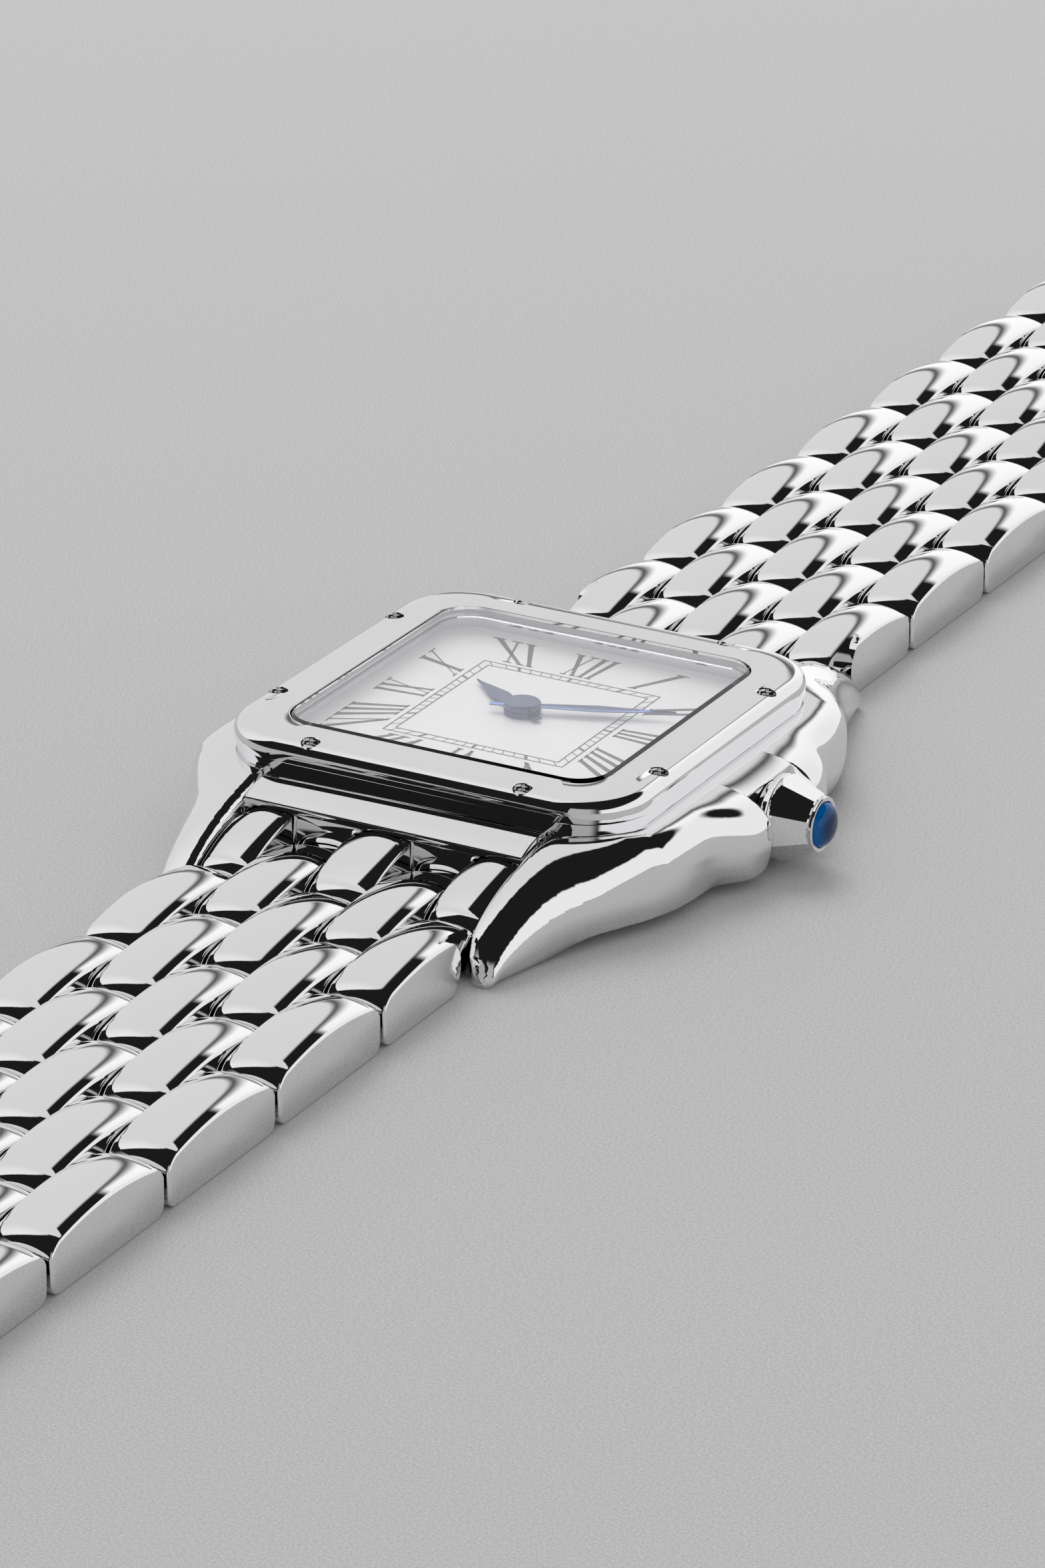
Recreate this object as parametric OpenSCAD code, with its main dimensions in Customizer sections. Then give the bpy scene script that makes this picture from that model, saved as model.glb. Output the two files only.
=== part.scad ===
// Square wristwatch on a brick-pattern link bracelet, open and lying flat on its back, in millimetres.
// X points to the crown, Y to the twelve and Z up. The origin is under the middle of the case back.

/* [Case] */
// How far the lugs reach beyond the shoulder
lug_reach = 5.1; // [4.8:0.1:5.9]
// Width over the side rails, without the crown guards
case_w = 25.2; // [24.8:0.1:27]
// Height of the deck that the bezel sits on
deck_z = 4.2; // [4.1:0.05:4.8]
// Height of the rails' underside over the table
rail_z = 0.55; // [0.4:0.05:0.8]
// Height of the shoulder's front edge between the lugs
bar_z = 3.8; // [3.75:0.05:3.9]
// Depth of the shoulder in front of the bezel
bar_depth = 2.85; // [2.6:0.05:3.2]
// How far the crown guards stand out from the rail
guard_reach = 1.2; // [0.6:0.1:1.6]
// Length of each crown guard along the rail
guard_len = 2.9; // [2:0.1:4]

/* [Bezel and crystal] */
// Width of the bezel
bezel_w = 20.8; // [20.2:0.1:21.4]
// Length of the bezel, twelve to six
bezel_l = 21.0; // [20.4:0.1:21.4]
// Thickness of the bezel
bezel_h = 1.5; // [1.3:0.05:1.9]
// Outer corner radius of the bezel
bezel_r = 3.3; // [2.4:0.1:4]
// Width of the window
window_w = 16.3; // [15.7:0.1:16.6]
// Length of the window
window_l = 16.8; // [16.2:0.1:17.1]
// Corner radius of the window
window_r = 1.7; // [1:0.1:2.4]
// Thickness of the step under the bezel lip that holds the crystal's foot
crystal_foot = 0.38; // [0.25:0.01:0.5]
// Diameter of a bezel screw's head
bezel_screw_d = 0.8; // [0.6:0.05:1]
// Distance between the two screws on one side
bezel_screw_gap = 10.7; // [9:0.1:12]

/* [Dial and hands] */
// Thickness of the dial
dial_t = 0.35; // [0.25:0.05:0.45]
// Length of the minute hand from its centre
minute_len = 7.0; // [5:0.1:7.2]
// Length of the hour hand from its centre
hour_len = 4.1; // [3:0.1:5]
// Thickness of each hand
hand_t = 0.1; // [0.06:0.01:0.14]
// Time shown at rest, in hours
shown_hour = 10.19; // [0:0.01:12]
// How far the hour hand stands behind the shown time, in degrees
hour_lag = 4.5; // [0:0.5:6]

/* [Crown] */
// Width of the crown over its flats' corners
crown_d = 4.0; // [3.4:0.1:4.2]
// Length of the faceted crown
crown_len = 2.1; // [1.6:0.1:2.6]
// Diameter of the blue stone
stone_d = 1.8; // [1.4:0.1:2.2]
// How far the stone stands out of the crown
stone_h = 1.0; // [0.6:0.1:1.4]
// Height of the crown's axis
crown_z = 2.3; // [2.25:0.05:2.5]
// How far the crown pulls out to set the hands
crown_travel = 0.8; // [0.4:0.1:1.2]
// Diameter of the stem
stem_d = 0.9; // [0.7:0.05:1]

/* [Case back] */
// Thickness of the case back
back_t = 0.8; // [0.6:0.05:0.9]
// How far the case back reaches beyond the movement at its sides
back_side = 0.9; // [0.75:0.05:1.3]
// How far the case back reaches beyond the movement at its ends
back_end = 1.1; // [0.9:0.05:1.8]
// Diameter of the heads of the case back screws
back_screw_d = 1.2; // [0.9:0.1:1.4]

/* [Movement] */
// Width of the main plate
plate_w = 16.9; // [16.2:0.1:17]
// Length of the main plate
plate_l = 17.3; // [16.6:0.1:17.4]
// Thickness of the main plate
plate_t = 0.95; // [0.8:0.05:1.05]
// Diameter of the battery
battery_d = 5.8; // [4.8:0.1:6.4]
// Thickness of the battery
battery_t = 1.6; // [1.2:0.1:1.7]
// Gear module of the wheels
gear_module = 0.12; // [0.1:0.01:0.13]
// Thickness of a wheel
wheel_t = 0.14; // [0.1:0.01:0.16]

/* [Bracelet] */
// Width over the five columns of links
bracelet_w = 14.85; // [14.4:0.05:15.6]
// Length of one link and one gap
link_pitch = 8.66; // [8.3:0.02:9]
// Height of a link along its edges
link_h = 2.75; // [2.6:0.05:2.9]
// How much higher the middle of a link is than its edges
link_dome = 0.2; // [0.1:0.02:0.3]
// Gap between two links of a column
link_gap = 0.3; // [0.24:0.02:0.4]
// Gap between two columns of links
column_gap = 0.06; // [0.04:0.01:0.1]
// Diameter of the bracelet pins
pin_d = 0.8; // [0.6:0.05:0.9]
// Height of the pins over the table
pin_z = 1.25; // [1.15:0.05:1.35]
// Links and half links from the case to the clasp on the six o'clock side
rows_six = 12; // [8:2:12]
// Links and half links from the case to the clasp on the twelve o'clock side
rows_twelve = 14; // [8:2:14]

/* [Clasp] */
// Length of each folding blade between its hinges
blade_len = 15; // [12:0.5:18]
// Thickness of a blade
blade_t = 0.8; // [0.6:0.05:0.9]

/* [Hidden] */
$fn = 48;
columns = 5;
SIX_ROWS = [for (i = [1 : rows_six]) str("six_row_", i < 10 ? "0" : "", i)];
TWELVE_ROWS = [for (i = [1 : rows_twelve]) str("twelve_row_", i < 10 ? "0" : "", i)];

// Clearances and seats
running = 0.04;        // radial play of a turning pin or shaft
fit = 0.05;            // play around a piece that is dropped into its seat
eps = 0.01;            // overrun of a cut past the face that it opens

// Bracelet layout, measured outwards from the middle of the watch
half_pitch = link_pitch / 2;
column_pitch = (bracelet_w + column_gap) / columns;
link_w = column_pitch - column_gap;
link_len = link_pitch - link_gap;
bar_front = bezel_l / 2 + bar_depth;
tip = bar_front + lug_reach;
end_link_front = tip - 1.18;                       // middle of the gap in front of the end links
end_link_stop = end_link_front - link_gap / 2;
first_pin = end_link_front - half_pitch / 2;       // the pin through both lugs
lug_overlap = 0.45;                                // how far the outer links reach in front of the lugs
lug_inner = bracelet_w / 2 - lug_overlap;          // inner face of a lug
lug_play = 0.03;
notch_front = tip + 0.75;                          // where the first outer link widens past the lug tip

// Case heights and places
end_wall = bar_front - 0.5;                        // outer face of the case under the shoulder
bar_under = bar_z - 0.3;
bar_edge = bar_front - 0.4;                        // the shoulder's front edge
rail_half = case_w / 2;
pocket_w = plate_w + 2 * fit;
pocket_l = plate_l + 2 * fit;
pocket_r = 2;
back_w = pocket_w + 2 * back_side;
back_l = pocket_l + 2 * back_end;
dial_z = deck_z - 0.45 - dial_t;                   // underside of the dial
ledge_z = dial_z + dial_t;                         // underside of the ledge over the dial
aperture_w = window_w + 0.2;
aperture_l = window_l + 0.2;
crystal_z = deck_z + 0.4;                          // underside of the crystal
lip_z = crystal_z + crystal_foot + 0.02;           // underside of the bezel's lip
bezel_top = deck_z + bezel_h;
screw_x = bezel_w / 2 - 0.71;                      // lines of the bezel screws
screw_y = bezel_l / 2 - 0.58;
foot_share = 0.363;                                // share of the lip that the crystal's foot fills
foot_w = window_w + foot_share * (2 * screw_x - window_w);
foot_l = window_l + foot_share * (2 * screw_y - window_l);
foot_r = window_r + 0.65;

// Crown places along X
recess_x = rail_half - 0.35;                       // bottom of the recess between the guards
recess_half = crown_d / 2 + 0.2;
crown_x = recess_x + 0.3;                          // back face of the crown
crown_end = crown_x + crown_len;
stem_inner = 4.6;                                  // inner end of the stem
tube_inner = pocket_w / 2;
groove_x = stem_inner + 1.2;                       // groove that the setting lever holds

// Movement heights and places
plate_z = dial_z - 0.45 - plate_t;                 // underside of the main plate
bridge_t = 0.3;
bridge_z = back_t + 0.12;
train_z = bridge_z + bridge_t;
battery_at = [-plate_w / 2 + battery_d / 2 + 0.5, -plate_l / 2 + battery_d / 2 + 0.7];
hour_teeth = 32;
hour_leaves = 8;
minute_teeth = 30;
minute_leaves = 10;
minute_at = (minute_leaves + minute_teeth) / 2 * gear_module;
centre_teeth = 48;
third_leaves = 8;
third_teeth = 48;
rotor_leaves = 6;
third_at = (centre_teeth + third_leaves) / 2 * gear_module;
third_angle = 75;      // direction of the third wheel from the centre
rotor_at = (third_teeth + rotor_leaves) / 2 * gear_module;
rotor_angle = 75;      // turn from that direction to the rotor's

// A rounded rectangle around the origin, of true arcs
module rounded(w, l, r) {
    square([w - 2 * r, l], center = true);
    square([w, l - 2 * r], center = true);
    for (sx = [-1, 1], sy = [-1, 1])
        translate([sx * (w / 2 - r), sy * (l / 2 - r)]) circle(r);
}

// A rounded block from height z0 to z1
module slab(w, l, r, z0, z1) {
    translate([0, 0, z0]) linear_extrude(z1 - z0) rounded(w, l, r);
}

// Both ends of the watch: the six o'clock end as drawn, the twelve o'clock end mirrored
module at_end(twelve) {
    if (twelve) mirror([0, 1, 0]) children();
    else children();
}

// Value at t of the smooth curve through the points in keys, each [t, value]
function span_of(keys, t, i = 0) = i >= len(keys) - 2 || t < keys[i + 1][0] ? i : span_of(keys, t, i + 1);
function slope_at(keys, i) = i <= 0 || i >= len(keys) - 1 ? 0
    : (keys[i + 1][1] - keys[i - 1][1]) / (keys[i + 1][0] - keys[i - 1][0]);
function smooth_curve(keys, t) = let (
    i = span_of(keys, t),
    h = keys[i + 1][0] - keys[i][0],
    u = min(1, max(0, (t - keys[i][0]) / h)),
    a = keys[i][1], b = keys[i + 1][1],
    da = slope_at(keys, i) * h, db = slope_at(keys, i + 1) * h)
    a + da * u + (3 * (b - a) - 2 * da - db) * pow(u, 2) + (2 * (a - b) + da + db) * pow(u, 3);
function eased(t) = let (u = min(1, max(0, t))) u * u * (3 - 2 * u);

// Side rails. RAIL_INSET says how far the outline lies inside case_w, by distance from the lug tip
RAIL_INSET = [[0, 4.15], [1.4, 3.65], [3.4, 3.3], [5, 2.85], [6.5, 2.1], [7.8, 1.3], [9, 0.6], [10.3, 0.2],
    [12, 0.05], [14, 0], [30, 0]];
tip_skew = 1.2;        // the inner edge of a lug ends this far behind its tip
skew_angle = 40;       // direction of a lug's end, seen from above
tip_x = rail_half - RAIL_INSET[0][1];
lug_face = lug_inner + lug_play;
roll_start = tip - 8.95;                           // the lugs begin to curve down here
under_start = tip - 6.45;                          // and their undersides here
rail_h = deck_z + 0.1;
function rail_x(y) = rail_half - smooth_curve(RAIL_INSET, tip - abs(y));

// Half of the case seen from above, on the +X side
function half_outline() = let (
    ys = [for (i = [-16 : 16]) let (u = i / 16) tip * sign(u) * pow(abs(u), 0.8)])
    concat([[0, -end_wall], [lug_face, -end_wall], [lug_face, tip_skew - tip]],
        [for (y = ys) [rail_x(y), y]],
        [[lug_face, tip - tip_skew], [lug_face, end_wall], [0, end_wall]]);

// Seen from the side: flat, then down in a curve to the lug's end, with the underside curving to the table
function lug_fall(d) = let (part = max(0, d - roll_start) / (tip - tip_skew - roll_start))
    pow(max(0, 1 - pow(part, 2)), 0.57);
function side_profile() = let (end = tip - tip_skew, m = 12) concat(
    [[-30, rail_z], [under_start, rail_z]],
    [for (i = [1 : 4]) [under_start + i, rail_z * (1 - eased(i / 4))]], [[30, 0], [30, 0.25], [end, 0.25]],
    [for (i = [m - 1 : -1 : 0]) let (d = roll_start + (end - roll_start) * sin(90 * i / m))
        [d, max(0.25, rail_h * lug_fall(d))]],
    [[-30, rail_h]]);

// Seen along the rail: the top rolls over into the flank, which is widest at the height middle and tucks in
// again underneath
function roll_profile(w, middle, tuck, flat) = let (m = 9) concat(
    [[-30, 0]],
    [for (i = [3 : -1 : 1]) let (a = 30 * i) [-tuck * (1 - cos(a)), middle * (1 - sin(a))]],
    [for (i = [m : -1 : 0]) let (a = 90 * i / m)
        [-w * (1 - pow(sin(a), 2 / flat)), middle + (rail_h - middle) * pow(cos(a), 2 / 2.4)]],
    [[-30, rail_h]]);
horn_angle = 22;       // direction of a horn, seen from above
horn_at = [rail_half - 1.45, 6.05 - tip];
module half_case() {
    intersection() {
        linear_extrude(rail_h + 1) polygon(half_outline());
        translate([rail_half, 30, 0]) rotate([90, 0, 0])
            linear_extrude(60) polygon(roll_profile(5.2, rail_z + 0.4 * (rail_h - rail_z), 1, 4));
        union() {
            for_both_ends() translate([lug_face, 0, 0]) rotate([0, 0, -skew_angle]) mirror([0, 1, 0])
                rotate([90, 0, 90]) translate([0, 0, -20]) linear_extrude(60) skewed_profile();
            translate([-1, -end_wall - 1, rail_z]) cube([lug_face + 1, 2 * end_wall + 2, bar_z - rail_z]);
        }
        for_both_ends() translate([horn_at[0], horn_at[1], 0]) rotate([0, 0, -horn_angle])
            translate([0, 30, 0]) rotate([90, 0, 0])
                linear_extrude(60) polygon(roll_profile(3.4, 0.4 * rail_h, 0.6, 2.4));
    }
}
module skewed_profile() {
    c = cos(skew_angle);
    polygon([for (p = side_profile()) [p[0] * c, p[1]]]);
}
module for_both_ends() {
    intersection() {
        children();
        mirror([0, 1, 0]) children();
    }
}

// A crown guard: a rounded wedge on the flank beside the crown
guard_r = 1.85;
module guards() {
    l = guard_len;
    h = recess_half;
    for (side = [0, 1]) mirror([0, side, 0]) intersection() {
        translate([0, 0, rail_z]) linear_extrude(rail_h - rail_z) polygon([[rail_half - 2, h - 0.2],
            [rail_half + guard_reach, h - 0.2], [rail_half + guard_reach, h + 0.3 * l],
            [rail_half + 0.8 * guard_reach, h + 0.48 * l], [rail_half + 0.5 * guard_reach, h + 0.66 * l],
            [rail_half + 0.15 * guard_reach, h + 0.9 * l], [rail_half - 0.2, h + 1.15 * l],
            [rail_half - 2, h + 2 * l]]);
        union() {
            translate([rail_half + guard_reach - guard_r, 0, crown_z]) rotate([-90, 0, 0])
                cylinder(r = guard_r, h = 12);
            translate([rail_half - 2, 0, rail_z])
                cube([guard_reach - guard_r + 2.2, 12, rail_h - rail_z - 0.4]);
        }
    }
}

// Link shapes. A profile lies in the plane of travel: first along the bracelet, then up
low_r = 0.6;
end_r = 0.75;
arch = link_len / 2;
arch_drop = 0.8;       // the arched top falls by this much from the middle to the ends
arch_r = (pow(arch, 2) + pow(arch_drop, 2)) / (2 * arch_drop);
module link_profile(len) {
    top = link_h + link_dome;
    end_top = top - arch_drop * 0.86;
    intersection() {
        union() {
            translate([-len / 2 + low_r, 0]) square([len - 2 * low_r, end_top - end_r]);
            translate([-len / 2, low_r]) square([len, end_top - end_r - low_r]);
            translate([-len / 2 + end_r, low_r]) square([len - 2 * end_r, top]);
            for (side = [-1, 1]) {
                translate([side * (len / 2 - low_r), low_r]) circle(low_r);
                translate([side * (len / 2 - end_r), end_top - end_r]) circle(end_r);
            }
        }
        translate([0, top - arch_r]) circle(arch_r, $fn = 120);
    }
}

// Cross-section of a link: flat sides and a domed top with soft edges
module link_cross(w) {
    edge_r = 0.45;
    dome_r = (pow(w / 2, 2) + pow(link_dome, 2)) / (2 * link_dome);
    intersection() {
        union() {
            translate([-w / 2, -eps]) square([w, link_h - edge_r + eps]);
            translate([-w / 2 + edge_r, 0]) square([w - 2 * edge_r, link_h + link_dome + eps]);
            for (side = [-1, 1])
                translate([side * (w / 2 - edge_r), link_h - edge_r]) circle(edge_r);
        }
        translate([0, link_h + link_dome - dome_r]) circle(dome_r, $fn = 120);
    }
}

// A bore or pin along X at distance d from the middle of the watch
module cross_pin(d, r, x0, x1, z = pin_z) {
    translate([x0, -d, z]) rotate([0, 90, 0]) cylinder(r = r, h = x1 - x0);
}

// A whole link around distance d, from x0 to x1
module link_body(d, x0, x1) {
    intersection() {
        translate([x0, -d, 0]) rotate([90, 0, 90]) linear_extrude(x1 - x0) link_profile(link_len);
        translate([(x0 + x1) / 2, -d + link_len / 2 + eps, 0]) rotate([90, 0, 0])
            linear_extrude(link_len + 2 * eps) link_cross(x1 - x0);
    }
}

function column_x(c) = (c - (columns - 1) / 2) * column_pitch;
function pin_at(i) = first_pin + i * half_pitch;
pin_end = bracelet_w / 2 - 0.7;        // the pins stop inside the outer links

// Distances of the pins of row i from the middle of the watch are pin_at(i - 1) and pin_at(i)
module three_links(i) {
    d = (pin_at(i - 1) + pin_at(i)) / 2;
    for (c = [0, 2, 4]) {
        first = i == 2 && c != 2;
        outer = c == 0 ? -1 : 1;
        difference() {
            link_body(d, column_x(c) - link_w / 2, column_x(c) + link_w / 2);
            for (k = [i - 1, i]) cross_pin(pin_at(k), pin_d / 2, -pin_end, pin_end);
            if (first) lug_notch(outer);
        }
    }
    for (k = [i - 1, i]) cross_pin(pin_at(k), pin_d / 2, -pin_end, pin_end);
}

// Cut that narrows the first outer link beside the lug's tip, with a rounded shoulder
module lug_notch(outer) {
    x0 = lug_inner - lug_play;
    r = link_h / 2;
    difference() {
        translate([outer > 0 ? x0 : -x0 - 2, -notch_front - r, -1])
            cube([2, notch_front + r - end_link_front + 1, link_h + 3]);
        cross_pin(notch_front + r, r, outer > 0 ? x0 - 1 : -x0 - 3, outer > 0 ? x0 + 3 : 1 - x0, r);
    }
}

module two_links(i) {
    d = (pin_at(i - 1) + pin_at(i)) / 2;
    for (c = [1, 3])
        difference() {
            link_body(d, column_x(c) - link_w / 2, column_x(c) + link_w / 2);
            for (k = [i - 1, i]) cross_pin(pin_at(k), pin_d / 2 + running, -bracelet_w, bracelet_w);
        }
}

module bracelet_row(i) {
    color("silver") if (i % 2 == 0) three_links(i); else two_links(i);
}

// Half links between the lugs, standing against the case under the shoulder
function end_link_profile() = let (
    low = 0.2,
    fall = 1.35,
    len = end_link_stop - end_wall,
    r = (pow(len, 2) + pow(fall, 2)) / (2 * fall),
    shoulder = bar_under - r + sqrt(pow(r, 2) - pow(len - end_r, 2)))
    concat([[0, low]],
        [for (a = [-90 : 15 : 0]) [len - low_r + low_r * cos(a), low + low_r + low_r * sin(a)]],
        [for (a = [0 : 15 : 75]) [len - end_r + end_r * cos(a), shoulder - end_r + end_r * sin(a)]],
        [for (i = [10 : -1 : 0]) let (x = (len - end_r) * i / 10)
            [x, bar_under - r + sqrt(pow(r, 2) - x * x)]]);
module end_links(twelve) {
    color("silver") at_end(twelve)
        for (c = [0, 2, 4]) {
            x0 = max(column_x(c) - link_w / 2, -lug_inner + lug_play);
            x1 = min(column_x(c) + link_w / 2, lug_inner - lug_play);
            difference() {
                translate([x0, -end_wall, 0]) rotate([90, 0, -90]) mirror([0, 0, 1])
                    linear_extrude(x1 - x0) polygon(end_link_profile());
                cross_pin(first_pin, pin_d / 2, -bracelet_w, bracelet_w);
            }
        }
}

// Spring bars that hold the bracelet between the lugs
lug_pin_reach = 0.9;
module lug_pins() {
    color("dimgray") for (twelve = [false, true]) at_end(twelve)
        cross_pin(first_pin, pin_d / 2, -lug_inner - lug_pin_reach, lug_inner + lug_pin_reach);
}

// The shoulder in front of the bezel is level at first and then curves down to its front edge
function shoulder() = let (start = bar_edge - 1.85, high = rail_h - 0.05) concat(
    [[start - 3, bar_under], [start - 3, high]],
    [for (i = [0 : 6]) let (u = i / 6) [start + (bar_edge - start) * u, high - (high - bar_z) * u * u]],
    [[bar_edge, bar_under]]);

// Case middle: rails, deck, end walls and shoulders, hollowed for the movement
module case_middle() {
    color("silver") difference() {
        union() {
            half_case();
            mirror([1, 0, 0]) half_case();
            slab(bezel_w - 0.4, bezel_l - 0.4, bezel_r - 0.2, rail_z + 1, deck_z);
            guards();
            for (twelve = [false, true]) at_end(twelve) mirror([0, 1, 0])
                translate([-lug_inner - 0.3, 0, 0]) rotate([90, 0, 90])
                    linear_extrude(2 * lug_inner + 0.6) polygon(shoulder());
        }
        slab(pocket_w, pocket_l, pocket_r, -1, ledge_z);
        slab(aperture_w, aperture_l, window_r, 0, deck_z + 3);
        slab(back_w + 2 * fit, back_l + 2 * fit, 2.2, -1, back_t);
        slab(bezel_w + 2 * fit, bezel_l + 2 * fit, bezel_r + fit, deck_z, deck_z + 3);
        translate([recess_x, -recess_half, -1]) cube([5, 2 * recess_half, deck_z + 3]);
        translate([tube_inner - 1, 0, crown_z]) rotate([0, 90, 0]) cylinder(d = stem_d + 0.7, h = 9);
        for (p = bezel_screw_places())
            translate([p[0], p[1], deck_z - 0.6]) cylinder(d = bezel_screw_d - 0.3, h = 2);
        for (p = back_screw_places())
            translate([p[0], p[1], back_t - 0.1]) cylinder(d = back_screw_d - 0.6, h = 1);
        for (twelve = [false, true]) at_end(twelve)
            for (side = [0, 1]) mirror([side, 0, 0])
                cross_pin(first_pin, pin_d / 2 + running, lug_inner - 0.5, lug_inner + lug_pin_reach + fit);
    }
}

// Screw centres, two on each side of the bezel
function bezel_screw_places() = let (a = bezel_screw_gap / 2)
    [for (s = [-1, 1], t = [-1, 1]) each [[s * a, t * screw_y], [s * screw_x, t * a]]];
function back_screw_places() = let (x = back_w / 2 - 1.05, y = back_l / 2 - 1.05)
    [for (s = [-1, 1], t = [-1, 1]) [s * x, t * y]];

screw_sink = 0.22;     // the bezel screws' heads lie this far under the bezel's top
head_h = 0.3;
edge_roll = 0.5;
foot_step = 0.14;      // the bezel's foot stands back this far under its rim
module rim_profile(half) {
    translate([0, deck_z]) square([half - foot_step, bezel_h - edge_roll]);
    translate([0, deck_z + 0.42]) square([half, bezel_h - edge_roll - 0.42]);
    translate([0, deck_z]) square([half - edge_roll, bezel_h]);
    translate([half - edge_roll, bezel_top - edge_roll]) circle(edge_roll);
}
module rim_block(w, l, r) {
    for (side = [0, 1]) {
        mirror([side, 0, 0]) translate([0, l / 2 - r, 0]) rotate([90, 0, 0])
            linear_extrude(l - 2 * r) rim_profile(w / 2);
        mirror([0, side, 0]) rotate([0, 0, 90]) translate([0, w / 2 - r, 0]) rotate([90, 0, 0])
            linear_extrude(w - 2 * r) rim_profile(l / 2);
    }
    for (sx = [-1, 1], sy = [-1, 1])
        translate([sx * (w / 2 - r), sy * (l / 2 - r), 0]) rotate_extrude() rim_profile(r);
}
module bezel() {
    color("silver") difference() {
        rim_block(bezel_w, bezel_l, bezel_r);
        slab(window_w, window_l, window_r, deck_z - 1, bezel_top + 1);
        slab(foot_w + 2 * fit, foot_l + 2 * fit, foot_r, deck_z - 1, lip_z);
        for (p = bezel_screw_places()) translate([p[0], p[1], 0]) {
            translate([0, 0, bezel_top - screw_sink - head_h]) cylinder(d = bezel_screw_d + 0.04, h = 2);
            translate([0, 0, deck_z - 1]) cylinder(d = bezel_screw_d - 0.3 + 0.04, h = 3);
        }
    }
}

module bezel_screws() {
    color("gray") for (p = bezel_screw_places()) translate([p[0], p[1], 0]) difference() {
        union() {
            translate([0, 0, bezel_top - screw_sink - head_h]) cylinder(d = bezel_screw_d, h = head_h);
            translate([0, 0, deck_z - 0.6])
                cylinder(d = bezel_screw_d - 0.3, h = bezel_h - screw_sink - head_h + 0.6 + eps);
        }
        translate([0, 0, bezel_top - screw_sink]) cube([bezel_screw_d + 1, 0.16, 0.2], center = true);
    }
}

module crystal() {
    color("lightcyan", 0.4) {
        slab(foot_w, foot_l, foot_r, crystal_z, crystal_z + crystal_foot);
        slab(window_w - 2 * fit, window_l - 2 * fit, window_r - fit, crystal_z, bezel_top + 0.04);
    }
}

module crystal_gasket() {
    color("white") difference() {
        slab(foot_w, foot_l, foot_r, deck_z, crystal_z);
        slab(aperture_w, aperture_l, window_r + 0.1, deck_z - 1, crystal_z + 1);
    }
}

// Dial with a hole for the hands' arbor
hub_bore = 1.5;
module dial() {
    color("ivory") difference() {
        slab(pocket_w - 2 * fit, pocket_l - 2 * fit, pocket_r - fit, dial_z, dial_z + dial_t);
        translate([0, 0, dial_z - 1]) cylinder(d = hub_bore, h = 3);
    }
}

// Hands, as pointed blades with a round hub
hour_z = ledge_z + 0.16;
minute_z = hour_z + hand_t + 0.1;
function shown(turns) = -360 * turns;
module blade(len, w, hub, bore, z) {
    inner = bore / 2 + 0.08;
    translate([0, 0, z]) {
        difference() {
            cylinder(d = hub, h = hand_t);
            translate([0, 0, -1]) cylinder(d = bore, h = 2);
        }
        linear_extrude(hand_t) polygon([[-w * 0.25, inner], [-w * 0.5, len * 0.5], [0, len],
                                        [w * 0.5, len * 0.5], [w * 0.25, inner]]);
        linear_extrude(hand_t) polygon([[-w * 0.22, -inner], [w * 0.22, -inner],
                                        [w * 0.3, -hub * 0.9], [-w * 0.3, -hub * 0.9]]);
    }
}
cannon_d = 0.5;
hour_tube_d = 0.9;
module hour_hand() {
    color("royalblue") rotate([0, 0, shown(shown_hour / 12) + hour_lag])
        blade(hour_len, 0.95, 1.7, hour_tube_d, hour_z);
}
module minute_hand() {
    color("royalblue") rotate([0, 0, shown(shown_hour)]) {
        blade(minute_len, 0.75, 1.5, cannon_d, minute_z);
        translate([0, 0, minute_z + hand_t]) cylinder(d = 1.2, h = 0.12);
    }
}

// A wheel with n short teeth of module gear_module. One tooth stands at the angle turn
module gear(n, z, t = wheel_t, turn = 0) {
    pitch_r = n * gear_module / 2;
    root = pitch_r - 0.9 * gear_module;
    top = pitch_r + 0.45 * gear_module;
    foot = 0.36 * gear_module;
    flat = 0.16 * gear_module;
    translate([0, 0, z]) rotate([0, 0, turn]) linear_extrude(t) {
        circle(pitch_r - 0.6 * gear_module);
        for (k = [0 : n - 1]) rotate(360 * k / n)
            polygon([[root, -foot], [top, -flat], [top, flat], [root, foot]]);
    }
}

motion_z = plate_z + plate_t + 0.06;               // motion work, between the plate and the dial
hour_wheel_z = motion_z + wheel_t + 0.03;
centre_z = plate_z - 0.06 - wheel_t;               // centre wheel, under the plate
module cannon_pinion() {
    color("goldenrod") {
        translate([0, 0, centre_z - 0.15]) cylinder(d = cannon_d, h = minute_z + hand_t - centre_z + 0.15);
        translate([0, 0, centre_z - 0.15]) cylinder(d = 0.9, h = 0.2);
        gear(minute_leaves, motion_z, turn = minute_dir);
        gear(centre_teeth, centre_z, turn = third_angle);
    }
}
module hour_wheel() {
    color("gold") difference() {
        union() {
            gear(hour_teeth, hour_wheel_z, turn = minute_dir + 180 / hour_teeth);
            translate([0, 0, hour_wheel_z]) cylinder(d = hour_tube_d, h = hour_z + hand_t - hour_wheel_z);
        }
        translate([0, 0, hour_wheel_z - 1]) cylinder(d = cannon_d + 2 * running, h = 5);
    }
}
minute_dir = 200;      // direction of the minute wheel from the centre
post_d = 0.4;
module at_minute_wheel() {
    rotate([0, 0, minute_dir]) translate([minute_at, 0, 0]) children();
}
module minute_wheel() {
    color("gold") at_minute_wheel() difference() {
        union() {
            gear(minute_teeth, motion_z, turn = 180 / minute_teeth);
            gear(hour_leaves, motion_z + wheel_t - eps, hour_wheel_z - motion_z + eps);
        }
        translate([0, 0, motion_z - 1]) cylinder(d = post_d + 2 * running, h = 3);
    }
}

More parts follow.
